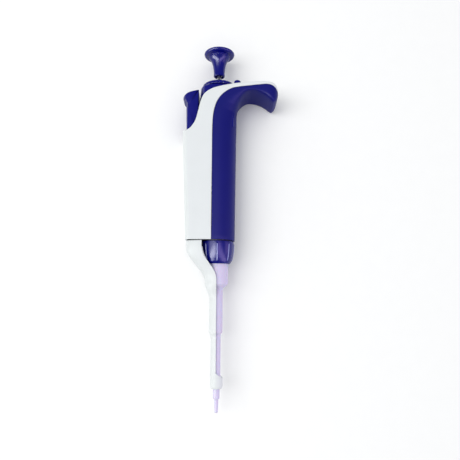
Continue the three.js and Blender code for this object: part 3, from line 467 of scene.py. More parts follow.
# ----------------------------------------------------------------------------- the shells
# Where grip and cover meet on the flank, from the handle's bottom over the shoulder and
# along the hook, and the grip's front silhouette at matching stations, with the squareness
# of the section there.
SEAM_LINE = [(SEAM_X, HANDLE_BOTTOM), (SEAM_X, 150), (SEAM_X, 178.6), (-3.3, 187), (-2.2, 193.5),
             (-0.4, 198.3), (2.2, 202.1), (5.6, 204.9), (9.4, 206.8), (14, 207.7), (20, 208.4),
             (27, 209.2), (32.5, 209.5), (35.8, 208.7), (37.4, 207.9), (38.4, 207), (39.2, 206),
             (39.5, 205.4), (HOOK_END, 205.1)]
FRONT_LINE = [(11, HANDLE_BOTTOM), (11.5, 150), (11.85, 178.6), (12, 186), (12.1, 191.8),
              (12.7, 196.1), (13.8, 199.3), (15.6, 202.3), (18.2, 204.7), (21.5, 205.9),
              (24.8, 205.5), (28.3, 204.1), (32, 201.8), (34.8, 199.4), (36.1, 198.5),
              (37.4, 199), (38.6, 200.8), (39.4, 203.2), (HOOK_END, 205)]
SQUARENESS = [2, 2, 2, 2, 2.1, 2.7, 3.8, 5.6, 7.2, 8, 8, 8, 8, 8, 8, 7, 6, 5, 4]
# The cover's seam stations, its free edge behind the ejector button, over the shoulder and
# out along the hook's top, and the radius of its rolled edge at each station.
COVER_SEAM = [(SEAM_X, 175.5), (SEAM_X, 178), (-3.6, 182), (-3.2, 188.5), (-2.3, 193.4),
              (-0.6, 198), (1.8, 201.6), (5.2, 204.6), (9.4, 206.8), (14, 207.7), (20, 208.4),
              (27, 209.2), (32.5, 209.5), (35.8, 208.7), (37.4, 207.9), (38.7, 206.6),
              (HOOK_END, 205.1)]
COVER_EDGE = [(-23.25, 178), (-20, 179), (-15.9, 183.6), (-13.3, 191.8), (-11.8, 198.3),
              (-9.5, 203.3), (-4.7, 206.9), (1.2, 208.8), (7.7, 210.2), (14, 211.1), (20, 211.7),
              (27, HOOK_TOP), (32.5, 211.8), (36.5, 211), (38.1, 210), (39.3, 208.2),
              (HOOK_END, 205.2)]
EDGE_ROLL = [3, 2.1, 1.7, 1.6, 1.6, 1.6, 1.6, 1.6, 1.6, 1.5, 1.5, 1.5, 1.4, 1.2, 1, 0.7, 0.4]
SHOULDER_STATIONS = 8
ROUND_END = 7
# Places across the cover's section: along the flank, round the corner, and from there to
# the window's opening.
FLANK_PLACES, CORNER_PLACES, BACK_PLACES = 7, 10, 5
COVER_STRAIGHT_TOP = 178


def narrowed(points):
    """The hook's end is rounded in plan: past 32.6 mm in front of the axis the half width
    falls from 12.5 mm to 5.5 mm along a quarter circle."""
    reach = np.clip(points[..., 0] - (HOOK_END - ROUND_END), 0, ROUND_END)
    half = HALF_WIDTH - ROUND_END + np.sqrt(ROUND_END**2 - reach**2)
    points[..., 2] *= half / HALF_WIDTH
    return points


def grip_surface(rows_per_station=14):
    """The front grip's skin. At each station a straight flank runs from the seam a quarter
    of the way forward, and from there half a superellipse goes round the front:
    reach = cos(a)^(2/n), half width = sin(a)^(2/n), where n is the squareness."""
    stations = len(SEAM_LINE)
    t = np.linspace(0, stations - 1, (stations - 1) * rows_per_station + 1)
    seam, front = follow(SEAM_LINE, t), follow(FRONT_LINE, t)
    power = 2 / follow(np.array(SQUARENESS)[:, None], t)
    start = seam + (front - seam) * FLANK_SHARE
    flat = np.linspace(0, 1, 7)[:-1]
    a = np.linspace(np.pi / 2, -np.pi / 2, 61)
    reach = np.abs(np.cos(a))[None] ** power
    reach[:, [0, -1]] = 0
    side = np.sign(np.sin(a)) * np.abs(np.sin(a))[None] ** power
    around = start[:, None] + (front - start)[:, None] * reach[..., None]
    flank = seam[:, None] + (start - seam)[:, None] * flat[None, :, None]
    xy = np.concatenate([flank, around, flank[:, ::-1]], 1)
    ones = np.ones((len(t), len(flat)))
    z = HALF_WIDTH * np.concatenate([ones, side, -ones], 1)
    return narrowed(np.concatenate([xy, z[..., None]], -1))


def cover_surface(seam_gap, rows_per_station=12):
    """The rear cover's skin. At each station a straight flank runs back from the seam, a
    quarter circle rounds the corner and a flat crosses to the other side. On the shoulder
    the flat is left open for the collar and the wheel, whose edge in the top follows a
    circle round the wheel. Also says which faces stay."""
    window = [WINDOW_LOW[1] - WINDOW_GAP, WINDOW_HIGH[1] + WINDOW_GAP]
    top = COVER_STRAIGHT_TOP
    y = np.concatenate([np.linspace(HANDLE_BOTTOM, window[0], 14)[:-1],
                        np.linspace(*window, 9), np.linspace(window[1], top, 9)[1:]])
    seam_low = np.stack([0 * y + SEAM_X, y - 2.5 * smoothstep(y, top - 14, top)], -1)
    edge_low = np.stack([-BACK_LOW - (y - HANDLE_BOTTOM) * BACK_SLOPE, y], -1)
    stations = len(COVER_SEAM)
    t = np.linspace(0, stations - 1, (stations - 1) * rows_per_station + 1)[1:]
    seam = np.vstack([seam_low, follow(COVER_SEAM, t)])
    edge = np.vstack([edge_low, follow(COVER_EDGE, t)])
    roll = np.concatenate([0 * y + BACK_CORNER, follow(np.array(EDGE_ROLL)[:, None], t)[:, 0]])
    length = np.linalg.norm(edge - seam, axis=1)
    ahead = (edge - seam) / np.maximum(length, 1e-6)[:, None]
    seam = seam + ahead * np.minimum(seam_gap, 0.3 * length)[:, None]
    length = np.linalg.norm(edge - seam, axis=1)
    roll = np.minimum(roll, 0.48 * length)[:, None]
    a = np.linspace(0, np.pi / 2, CORNER_PLACES)[None]
    flank = (length[:, None] - roll) * np.linspace(0, 1, FLANK_PLACES + 1)[None, :-1]
    run = np.concatenate([flank, length[:, None] - roll + roll * np.sin(a)], 1)
    height = np.concatenate([HALF_WIDTH + 0 * flank, HALF_WIDTH - roll + roll * np.cos(a)], 1)
    half_window = WINDOW_HIGH[2] + WINDOW_GAP
    middle = np.concatenate([np.linspace(1, 0, BACK_PLACES + 1)[1:-1], [0]])
    across = half_window + (HALF_WIDTH - roll - half_window) * middle[None]
    across = np.concatenate([across, half_window * np.linspace(1, 0, 5)[None, 1:] + 0 * roll], 1)
    run = np.concatenate([run, length[:, None] + 0 * across], 1)
    height = np.concatenate([height, across], 1)
    run = np.concatenate([run, run[:, -2::-1]], 1)
    z = np.concatenate([height, -height[:, -2::-1]], 1)
    xy = seam[:, None] + ahead[:, None] * run[..., None]
    points = np.concatenate([xy, z[..., None]], -1)
    # the top starts at the wheel's circle, and the places behind it follow
    top_row = len(y) + SHOULDER_STATIONS * rows_per_station - 1
    circle = np.sqrt(np.clip((WHEEL_R + WHEEL_GAP)**2 - points[..., 2]**2, 0, None))
    begin = np.maximum(circle, points[top_row:top_row + 1, :, 0])
    share = (HOOK_END - points[..., 0]) / (HOOK_END - points[top_row:top_row + 1, :, 0])
    moved = HOOK_END - (HOOK_END - begin) * share
    points[top_row:, :, 0] = np.where(
        np.abs(points[top_row:, :, 2]) < HALF_WIDTH - 1, moved[top_row:], points[top_row:, :, 0])
    keep = np.ones((len(points) - 1, points.shape[1] - 1), bool)
    columns = points.shape[1]
    edge_column = FLANK_PLACES + CORNER_PLACES - 1
    in_window = edge_column + BACK_PLACES
    low = len(y)
    keep[low - 1:top_row, edge_column:columns - 1 - edge_column] = False
    rows = np.flatnonzero((y[:-1] >= window[0] - 0.01) & (y[1:] <= window[1] + 0.01))
    keep[rows[0]:rows[-1] + 1, in_window:columns - 1 - in_window] = False
    return narrowed(points), keep


class PIPETTE_OT_shells(bpy.types.Operator):
    """Front grip and rear cover, the two shells of the handle"""
    bl_idname = "pipette.shells"
    bl_label = "Shells"

    def execute(self, context):
        sizes = context.scene.pipette_sizes

        def axis(c):
            """The nearest places on a line 3 mm behind the plunger axis."""
            return np.stack([0 * c[:, 0] - 3, c[:, 1], 0 * c[:, 0]], -1)

        grip = skin("grip_shell", grip_surface(), outward=axis)
        walled(grip, sizes.wall, sizes.edge)
        shown(grip, "soft_touch", "handle", "blue_grip", "front_grip")
        points, keep = cover_surface(sizes.seam / MM)
        cover = skin("cover_shell", points, keep=keep, outward=axis)
        walled(cover, sizes.wall, sizes.edge)
        shown(cover, "white_abs", "handle", "white_shell", "rear_cover")
        return {"FINISHED"}


class PIPETTE_OT_top_collar(bpy.types.Operator):
    """Blue collar under the thumbwheel and the calibration cover beside it"""
    bl_idname = "pipette.top_collar"
    bl_label = "Top collar"

    def execute(self, context):
        # Rings of half widths x and z, the squareness and the height: up the outside, over
        # the rounded top, down the bore and back under.
        low, high = span("top_collar")
        top = high[1]
        ring = np.array([
            (12.3, 10.7, 2.5, low[1]), (12.3, 10.7, 2.5, 190), (12.3, 10.7, 2.5, 200),
            (12.3, 10.7, 2.5, top - 1.2), (12.2, 10.6, 2.5, top - 0.6),
            (11.9, 10.4, 2.4, top - 0.2), (11.4, 10.2, 2.3, top), (9.5, 9.5, 2, top),
            (8.4, 8.4, 2, top - 0.1), (8.3, 8.3, 2, top - 0.5), (8.3, 8.3, 2, HUB_BOTTOM + 1),
            (8.3, 8.3, 2, HUB_BOTTOM - 0.4), (10, 9, 2.2, low[1])])
        a = np.linspace(0, 2 * np.pi, 144, endpoint=False)
        c, s, power = np.cos(a), np.sin(a), 2 / ring[:, 2:3]
        x = ring[:, :1] * np.sign(c) * np.abs(c) ** power
        z = ring[:, 1:2] * np.sign(s) * np.abs(s) ** power
        # the grip's wall passes in front of a flat, and behind a squarer spine fills the
        # room up to the ejector button
        front_flat, spine, spine_half, spine_top = 10.1, -12.75, 8, 205.9
        x = np.minimum(x, front_flat)
        behind = (x < -11) & (np.abs(z) < spine_half) & (ring[:, 3:] < spine_top)
        x = np.where(behind, spine, x)
        points = np.stack([x, ring[:, 3:] + 0 * a, z], -1)
        collar = skin("top_collar_ring", points, around=True, along=True)
        shown(collar, "gloss_abs", "handle", "blue_gloss", "top_collar")
        # A crescent round the wheel: an eased section of (radius, y) carried round an arc
        # and drawn together at both ends.
        plug_low, plug_high = span("calibration_cover")
        inner, outer = 12.05, 16.1
        section = eased([(inner, plug_low[1], 0.3), (outer, plug_low[1], 0.3),
                         (outer, plug_high[1] - 1.5, 0.6), (outer - 1.1, plug_high[1], 1.2),
                         (inner + 1, plug_high[1], 0.8), (inner, plug_high[1] - 1.2, 0.6)])
        arc = np.linspace(-1, 1, 41)
        drawn = np.sqrt(np.clip(1 - np.abs(arc) ** 24, 0, 1))
        middle = section.mean(0)
        rings = middle + (section[None] - middle) * drawn[:, None, None]
        r = rings[..., 0]
        angle = np.arcsin(np.clip(plug_high[2] / r, 0, 1)) * arc[:, None]
        points = np.stack([r * np.cos(angle), rings[..., 1], r * np.sin(angle)], -1)
        plug = skin("calibration_plug", points, around=True)
        shown(plug, "gloss_abs", "handle", "blue_gloss", "calibration_cover")
        return {"FINISHED"}


class PIPETTE_OT_thumbwheel(bpy.types.Operator):
    """Fluted volume wheel under the thumb button"""
    bl_idname = "pipette.thumbwheel"
    bl_label = "Thumbwheel"
    flutes = 24
    flute_depth = 0.45

    def execute(self, context):
        rim, bore, hub, around = WHEEL_R, 4.75, 8, 480
        profile = eased([
            (hub, HUB_BOTTOM, 0.3), (hub, WHEEL_BOTTOM, 0.2), (rim, WHEEL_BOTTOM, 0.5),
            (rim, WHEEL_TOP - 0.9, 0.9), (rim - 1.9, WHEEL_TOP, 0.8),
            (bore + 0.9, WHEEL_TOP, 0.3), (bore, WHEEL_TOP - 0.8, 0.3), (bore, HUB_BOTTOM, 0.2)])
        points = lathe(profile, around)
        # Each flute is a shallow scallop in the rim: r = r - depth * max(0, cos(24 a))^3,
        # fading inwards from the rim.
        a = np.linspace(0, 2 * np.pi, around, endpoint=False)
        cut = self.flute_depth * np.clip(np.cos(self.flutes * a), 0, 1) ** 3
        fade = smoothstep(profile[:, :1], rim - 1.8, rim - 0.4)
        shrink = 1 - cut * fade / profile[:, :1]
        points[..., 0] *= shrink
        points[..., 2] *= shrink
        wheel = skin("volume_wheel", points, around=True, along=True)
        shown(wheel, "gloss_abs", "dial", "blue_gloss", "thumbwheel")
        return {"FINISHED"}


class PIPETTE_OT_plunger(bpy.types.Operator):
    """Thumb button with its hollow neck, cap and steel push rod"""
    bl_idname = "pipette.plunger"
    bl_label = "Plunger"

    def execute(self, context):
        low, top, r = BUTTON_BOTTOM, BUTTON_TOP, BUTTON_R
        flare = follow([(3.78, low - 0.2), (3.82, low + 3), (4.15, low + 6), (4.8, low + 8.8),
                        (5.7, low + 10.9), (6.7, low + 12.3)], np.linspace(0, 5, 41))
        rim = eased([(6.7, low + 12.3, 0), (7.15, low + 12.75, 0.25), (6.85, top - 2.95, 0.2),
                     (7.4, top - 2.6, 0.2), (r - 0.9, top - 2.4, 0.5),
                     (r, top - 1.5, 0.5), (r, top - 0.5, 0.5),
                     (r - 0.7, top, 0.5), (r - 1.6, top - 0.1, 0.3), (r - 2, top - 1.4, 0.2),
                     (2, top - 1.6, 0)], closed=False)
        mouth = eased([(2, top - 1.6, 0), (2, low + 2, 0.2), (2.9, low + 1.1, 0.3),
                       (3.25, low - 0.8, 0.25), (3.78, low - 0.2, 0)], closed=False)
        profile = np.vstack([flare, rim, mouth])
        button = skin("thumb_button", lathe(profile, 160), around=True, along=True)
        shown(button, "gloss_abs", "plunger", "blue_gloss", "plunger_button")
        cap = turned("thumb_cap", [
            (0, top - 1.35, 0), (r - 2.35, top - 1.05, 0.2), (r - 2.05, top - 0.35, 0.3),
            (r - 4, top - 0.7, 1.5), (0, top - 0.9, 0)], 128, closed=False)
        shown(cap, "gloss_abs", "plunger", "blue_gloss", "button_cap")
        rod_low, rod_high = span("push_rod")
        rod = turned("push_rod_ground", [
            (0, rod_low[1], 0), (1.5, rod_low[1], 0.3), (1.5, rod_high[1], 0.3),
            (0, rod_high[1], 0)], 48, closed=False)
        shown(rod, "ground_steel", "plunger", "steel", "push_rod")
        return {"FINISHED"}


class PIPETTE_OT_coupling_nut(bpy.types.Operator):
    """Ribbed nut that holds the shaft on the handle"""
    bl_idname = "pipette.coupling_nut"
    bl_label = "Coupling nut"
    ribs = 8
    rib_half_width = 0.5

    def execute(self, context):
        height = NUT_TOP - NUT_BOTTOM
        flare = follow([(NUT_R + r, NUT_BOTTOM + share * height) for share, r in (
            (0.02, -2.8), (0.05, -2.4), (0.18, -1.7), (0.37, -1.1), (0.59, -0.7),
            (0.8, -0.5), (0.9, -0.45))], np.linspace(0, 6, 49))
        band = eased([(NUT_R - 0.45, NUT_BOTTOM + 0.9 * height, 0),
                      (NUT_R - 0.45, NUT_TOP, 0.35),
                      (ADAPTER_R + 0.3, NUT_TOP, 0.2), (ADAPTER_R + 0.3, FLANGE_TOP, 0.1),
                      (FLANGE_R + 0.3, FLANGE_TOP - 0.3, 0.1),
                      (FLANGE_R + 0.3, FLANGE_BOTTOM - 0.3, 0.1),
                      (BARREL_R + 0.3, FLANGE_BOTTOM - 0.3, 0.1),
                      (BARREL_R + 0.3, NUT_BOTTOM, 0.15), (NUT_R - 3.1, NUT_BOTTOM, 0.15),
                      (NUT_R - 2.8, NUT_BOTTOM + 0.02 * height, 0)], closed=False)
        profile = np.vstack([flare, band])
        around = 560
        points = lathe(profile, around)
        # Rounded ribs: height * (1 - (distance / half width)^2), fading at both ends.
        a = np.linspace(0, 2 * np.pi, around, endpoint=False)
        pitch = 2 * np.pi / self.ribs
        off = np.abs((a + pitch / 2) % pitch - pitch / 2) * NUT_R
        rib = np.clip(1 - (off / self.rib_half_width) ** 2, 0, 1) * context.scene.pipette_sizes.rib / MM
        y = flare[:, 1:]
        fade = smoothstep(y, NUT_BOTTOM + 1.2, NUT_BOTTOM + 2.6)
        fade = fade * (1 - smoothstep(y, NUT_BOTTOM + 12.6, NUT_BOTTOM + 13.4))
        grow = 1 + rib[None] * fade / flare[:, :1]
        points[:len(flare), :, 0] *= grow
        points[:len(flare), :, 2] *= grow
        nut = skin("shaft_nut", points, around=True, along=True)
        # How far each place stands on a rib's crest, for the painted highlight there.
        places = np.empty(len(nut.data.vertices) * 3, np.float32)
        nut.data.vertices.foreach_get("co", places)
        x, y, z = (places.reshape(-1, 3) - placed(np.zeros((1, 3)))).T / MM
        off = np.abs((np.arctan2(z, x) + pitch / 2) % pitch - pitch / 2) * NUT_R
        crest_highlight = (1 - smoothstep(off, 0.12, self.rib_half_width)) * (np.hypot(x, z) > NUT_R - 2.6)
        crest_highlight = crest_highlight * smoothstep(y, NUT_BOTTOM + 1.4, NUT_BOTTOM + 2.6)
        crest_highlight = crest_highlight * (1 - smoothstep(y, NUT_BOTTOM + 12, NUT_BOTTOM + 12.8))
        nut.data.attributes.new("crest_highlight", "FLOAT", "POINT").data.foreach_set("value", crest_highlight)
        shown(nut, "ribbed_abs", "coupling_nut", "blue_gloss", "coupling_nut", sharp=50)
        return {"FINISHED"}


class PIPETTE_OT_shaft(bpy.types.Operator):
    """Lavender shaft with the tip cone at its end"""
    bl_idname = "pipette.shaft"
    bl_label = "Shaft"

    def execute(self, context):
        chamber, floor, bore, airway = 5.6, 80.5, 0.765, 0.4
        shaft = turned("pvdf_shaft", [
            (airway, 0, 0.1), (0.8, 0, 0.15), (1.05, 0.5, 0.3), (1.35, 8, 0.25),
            (2.05, 8.9, 0.5), (2.05, 17, 0.4), (2.4, 17.8, 0.5), (2.4, 47.6, 0.3),
            (3.55, 48.9, 0.3), (3.55, 76.5, 1), (BARREL_R - 0.15, 79, 1.2),
            (BARREL_R - 0.05, 90.4, 0), (BARREL_R - 0.2, 90.5, 0), (BARREL_R - 0.2, 90.9, 0),
            (BARREL_R - 0.02, 91, 0), (BARREL_R, FLANGE_BOTTOM, 0.2),
            (FLANGE_R, FLANGE_BOTTOM, 0.2), (FLANGE_R, FLANGE_TOP, 0.2),
            (chamber, FLANGE_TOP, 0.2), (chamber, floor, 0.2), (bore, floor, 0.1),
            (bore, 32, 0.1), (airway, 31.4, 0.1)], 96)
        shown(shaft, "lavender_pvdf", "handle", "lavender_shaft", "shaft")
        return {"FINISHED"}


def ejector_width(x, y):
    """Half width of the ejector button: 10 mm, rounded towards the lip in plan as
    full * sqrt(1 - t^3.2), and the stem below the lip with 3 mm corners."""
    full, lip_start, lip_end, lip_power = 10, -17.6, -24.4, 3.2
    t = np.clip((lip_start - x) / (lip_start - lip_end), 0, 1)
    pad = full * np.sqrt(np.clip(1 - t ** lip_power, 0, 1))
    corner, face = 3.0, -21.15
    u = np.clip((face + corner - x) / corner, 0, 1)
    stem = full - corner * (1 - np.sqrt(np.clip(1 - u**2, 0, 1)))
    blend = smoothstep(y, 198.2, 201.4)
    return stem * (1 - blend) + pad * blend


class PIPETTE_OT_ejector_button(bpy.types.Operator):
    """Tip-ejector button with its sloping thumb pad"""
    bl_idname = "pipette.ejector_button"
    bl_label = "Ejector button"

    def execute(self, context):
        low, high = span("ejector_button")[0][1], span("ejector_button")[1][1]
        outline = eased([
            (-13.15, low, 0.5), (-13.15, high, 0.4), (-18.6, high - 1.1, 4),
            (-24.1, high - 3.6, 0.9), (-23.7, high - 5.3, 0.7), (-21.7, high - 5.8, 0.8),
            (-21.55, high - 9, 2), (-21.1, low, 0.6)],
            steps=12)
        points = slab(outline, ejector_width, 0.8)
        button = skin("eject_button", points, along=True)
        shown(button, "gloss_abs", "ejector", "blue_gloss", "ejector_button")
        return {"FINISHED"}


def arm_form(y):
    """The ejector arm's half width, depth behind the axis and squareness at a station:
    a tube of 3.9 then 5.1 mm, a waist over the barrel and a wide top under the handle."""
    tube = 3.9 + 1.2 * smoothstep(y, 45.5, 49.5)
    waist = tube + 3.1 * smoothstep(y, 70, 80)
    top = smoothstep(y, 81, 103)
    half = waist + 3.1 * top
    back = waist + 12.0 * smoothstep(y, 81, 102)
    return half, back, 2 + 3 * top


class PIPETTE_OT_ejector_arm(bpy.types.Operator):
    """White arm that runs down the shaft and ends in the ejector sleeve"""
    bl_idname = "pipette.ejector_arm"
    bl_label = "Ejector arm"

    def execute(self, context):
        ring_low, ring_high, wall, edge_x = 21.1, 24.2, 1.3, -0.5
        deck_edge_x, deck_circle, around = -9.9, 11.6, 73
        y = np.concatenate([
            SLEEVE_END + np.array([0, 0.15, 0.5, 1.0, 1.6]), np.linspace(17, ring_low, 5),
            np.linspace(ring_low, ring_high, 14)[1:], np.linspace(ring_high, 45, 12)[1:],
            np.linspace(45, 50, 13)[1:], np.linspace(50, 70, 9)[1:],
            np.linspace(70, ARM_TOP - 0.5, 70)[1:], [ARM_TOP - 0.2, ARM_TOP - 0.05, ARM_TOP]])
        half, back, power = arm_form(y)
        inset = 0.9 * (1 - smoothstep(y, SLEEVE_END - 1.2, SLEEVE_END + 1.6))
        inset = inset + 0.3 * smoothstep(y, ARM_TOP - 0.5, ARM_TOP) ** 2
        half, back = half - inset, back - inset
        # x of the free edge: closed ring, diagonal cut, straight edge, then the sweep back
        # beside the nut
        sweep = follow([(edge_x, 76), (edge_x - 0.3, 84.5), (-4.8, 92), (-8.4, 97),
                        (-9.7, 101), (deck_edge_x, ARM_TOP + 0.5)], np.linspace(0, 5, 61))
        closed_rows = np.count_nonzero(y <= ring_low + 1e-6)
        x_edge = np.interp(y, np.concatenate([[ring_low, ring_high], sweep[:, 1]]),
                           np.concatenate([[half[closed_rows - 1], edge_x], sweep[:, 0]]))
        front = np.clip(x_edge / half, 0, 1)
        behind = -np.clip(-x_edge / back, 0, 1) ** (power / 2)
        start = np.where(x_edge > 0, np.arccos(front), np.arccos(behind))
        start = np.where(y <= ring_low, 0, start)[:, None]

        def ring(half, back, start):
            """Places round the arm: an ellipse in front, a superellipse behind."""
            share = np.linspace(0, 1, around)[None]
            a = start + (2 * np.pi - 2 * start) * share
            c, s = np.cos(a), np.sin(a)
            squared = (2 / power)[:, None]
            x = np.where(c >= 0, half[:, None] * c, -back[:, None] * np.abs(c) ** squared)
            z = half[:, None] * np.where(c >= 0, s, np.sign(s) * np.abs(s) ** squared)
            return np.stack([x, np.repeat(y[:, None], around, 1), z], -1)

        outer = ring(half, back, start)
        # radius that the arm's inner wall clears at each station, past shaft, barrel and nut
        clear = np.interp(y, [0, 38.5, 47.5, 49, 75.7, 78.9, 89.6, 91.6, 120],
                          [2.75, 2.75, 2.85, 3.9, 3.9, 7.35, 7.4, 11.55, 11.55])
        inner = ring(half - wall, back - wall, start)
        radius = np.hypot(inner[..., 0], inner[..., 2])
        push = np.maximum(clear[:, None] / np.maximum(radius, 1e-6), 1)
        inner[..., 0] *= push
        inner[..., 2] *= push
        # the deck under the handle: from the last stations the inner wall turns in to the
        # circle that clears the nut
        deck = smoothstep(y, ARM_TOP - 4, ARM_TOP - 3.6)[:, None]
        arc = np.arccos(deck_edge_x / deck_circle)
        turn = np.linspace(arc, 2 * np.pi - arc, around)[None]
        inner[..., 0] = inner[..., 0] * (1 - deck) + deck_circle * np.cos(turn) * deck
        inner[..., 2] = inner[..., 2] * (1 - deck) + deck_circle * np.sin(turn) * deck
        section = np.concatenate([outer, inner[:, ::-1]], 1)
        middle = (outer + inner) / 2
        cap = np.concatenate([middle, middle[:, ::-1]], 1)
        points = np.concatenate([cap[:1], section, cap[-1:]], 0)
        keep = np.ones((len(points) - 1, points.shape[1]), bool)
        keep[:closed_rows, [around - 1, 2 * around - 1]] = False
        arm = skin("eject_arm", points, around=True, keep=keep)
        shown(arm, "white_abs", "ejector", "white_arm", "ejector_arm", sharp=40)
        return {"FINISHED"}


class PIPETTE_OT_counter(bpy.types.Operator):
    """Number drums with their figures, and the clear window over them"""
    bl_idname = "pipette.counter"
    bl_label = "Counter"
    # node, body and the figure that faces the window at rest
    drums = (("drum_tenths", "counter", 0), ("drum_units", "units_drum", 0),
             ("drum_tens", "tens_drum", 1))
    gear_side, ink = 1.4, 0.02

    def figures(self, name, y, first):
        """Ten figures printed round a drum: a flat figure's x becomes an angle, x / radius,
        and its y stays, with first facing the window."""
        curve = bpy.data.curves.new(name, "FONT")
        curve.size, curve.align_x, curve.align_y = 3.4, "CENTER", "CENTER"
        curve.extrude, curve.resolution_u = self.ink, 6
        text = bpy.data.objects.new(name, curve)
        bpy.context.scene.collection.objects.link(text)
        corners, faces, count = [], [], 0
        for digit in range(DIGITS):
            curve.body = str(digit)
            bpy.context.view_layer.update()
            ready = text.evaluated_get(bpy.context.evaluated_depsgraph_get())
            flat = bpy.data.meshes.new_from_object(ready)
            co = np.zeros(len(flat.vertices) * 3)
            flat.vertices.foreach_get("co", co)
            co = co.reshape(-1, 3)
            angle = co[:, 0] / DRUM_R + (digit - first) * 2 * np.pi / DIGITS
            r = DRUM_R + 0.005 + co[:, 2]
            corners.append(np.stack(
                [DRUM_X - r * np.cos(angle), y + co[:, 1], r * np.sin(angle)], -1))
            faces += [[v + count for v in p.vertices] for p in flat.polygons]
            count += len(co)
            bpy.data.meshes.remove(flat)
        bpy.data.objects.remove(text)
        mesh = bpy.data.meshes.new(name)
        mesh.from_pydata(placed(np.vstack(corners)).tolist(), [], faces)
        weld(mesh)
        piece = bpy.data.objects.new(name, mesh)
        bpy.context.scene.collection.objects.link(piece)
        return piece

    def execute(self, context):
        for name, body, first in self.drums:
            low, high = span(name)
            printed = self.figures(name + "_figures", (low[1] + self.gear_side + high[1]) / 2, first)
            shown(printed, "ink", body, "number_drum")
        low, high = WINDOW_LOW, WINDOW_HIGH
        back = [-BACK_LOW - (y - HANDLE_BOTTOM) * BACK_SLOPE for y in (low[1], high[1])]
        outline = eased([(back[0], low[1], 0.3), (back[1], high[1], 0.3),
                         (back[1] + 1.5, high[1], 0.1), (back[0] + 1.5, low[1], 0.1)])
        window = skin("counter_window", slab(outline, lambda x, y: high[2] + 0 * x, 0.25),
                      along=True)
        shown(window, "window", "handle", "clear_window", "window_lens")
        return {"FINISHED"}


class PIPETTE_OT_springs(bpy.types.Operator):
    """Return spring, blow-out spring and ejector spring"""
    bl_idname = "pipette.springs"
    bl_label = "Springs"

    def execute(self, context):
        # node, wire radius, turns, joint that presses it and how far, in millimetres
        for name, wire, turns, joint, travel in (
                ("primary_spring", 0.35, 14, "plunger_slide", 10),
                ("blowout_spring", 0.5, 6, "blowout_slide", 3),
                ("ejector_spring", 0.4, 7, "ejector_slide", 9)):
            low, high = span(name)
            radius = (high[0] - low[0]) / 2 - wire
            centre = ((low[0] + high[0]) / 2, (low[2] + high[2]) / 2)
            points = coil(radius, wire, low[1], high[1], turns, centre)
            piece = skin(name + "_wire", points, around=True)
            shown(piece, "spring_steel", "handle", "spring_wire", name)
            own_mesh(piece)
        return {"FINISHED"}


class PIPETTE_OT_inner_parts(bpy.types.Operator):
    """Finishes for the pieces of the mechanism that the frame shows as they are"""
    bl_idname = "pipette.inner_parts"
    bl_label = "Inner parts"
    finishes = {
        "black_nylon": ("base_plate", "shaft_adapter", "counter_frame"),
        "turned_brass": ("lead_nut", "volume_spindle"),
        "ground_steel": ("pinion_axle", "frame_screw_upper", "frame_screw_lower", "piston",
                         "stop_washer", "counter_axle", "ejector_rod"),
        "nitrile": ("shaft_o_ring", "seal_o_ring"),
        "drum_abs": ("drum_tenths", "drum_units", "drum_tens"),
        "acetal": ("piston_seal", "seal_retainer", "stop_sleeve", "rod_collar", "piston_head",
                   "wheel_sleeve", "drive_gear", "counter_gear", "carry_pinion_lower",
                   "carry_pinion_upper", "ejector_foot"),
    }

    def execute(self, context):
        for material, names in self.finishes.items():
            for name in names:
                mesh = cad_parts[name].data
                mesh.materials.clear()
                mesh.materials.append(MATERIALS[material])
        return {"FINISHED"}


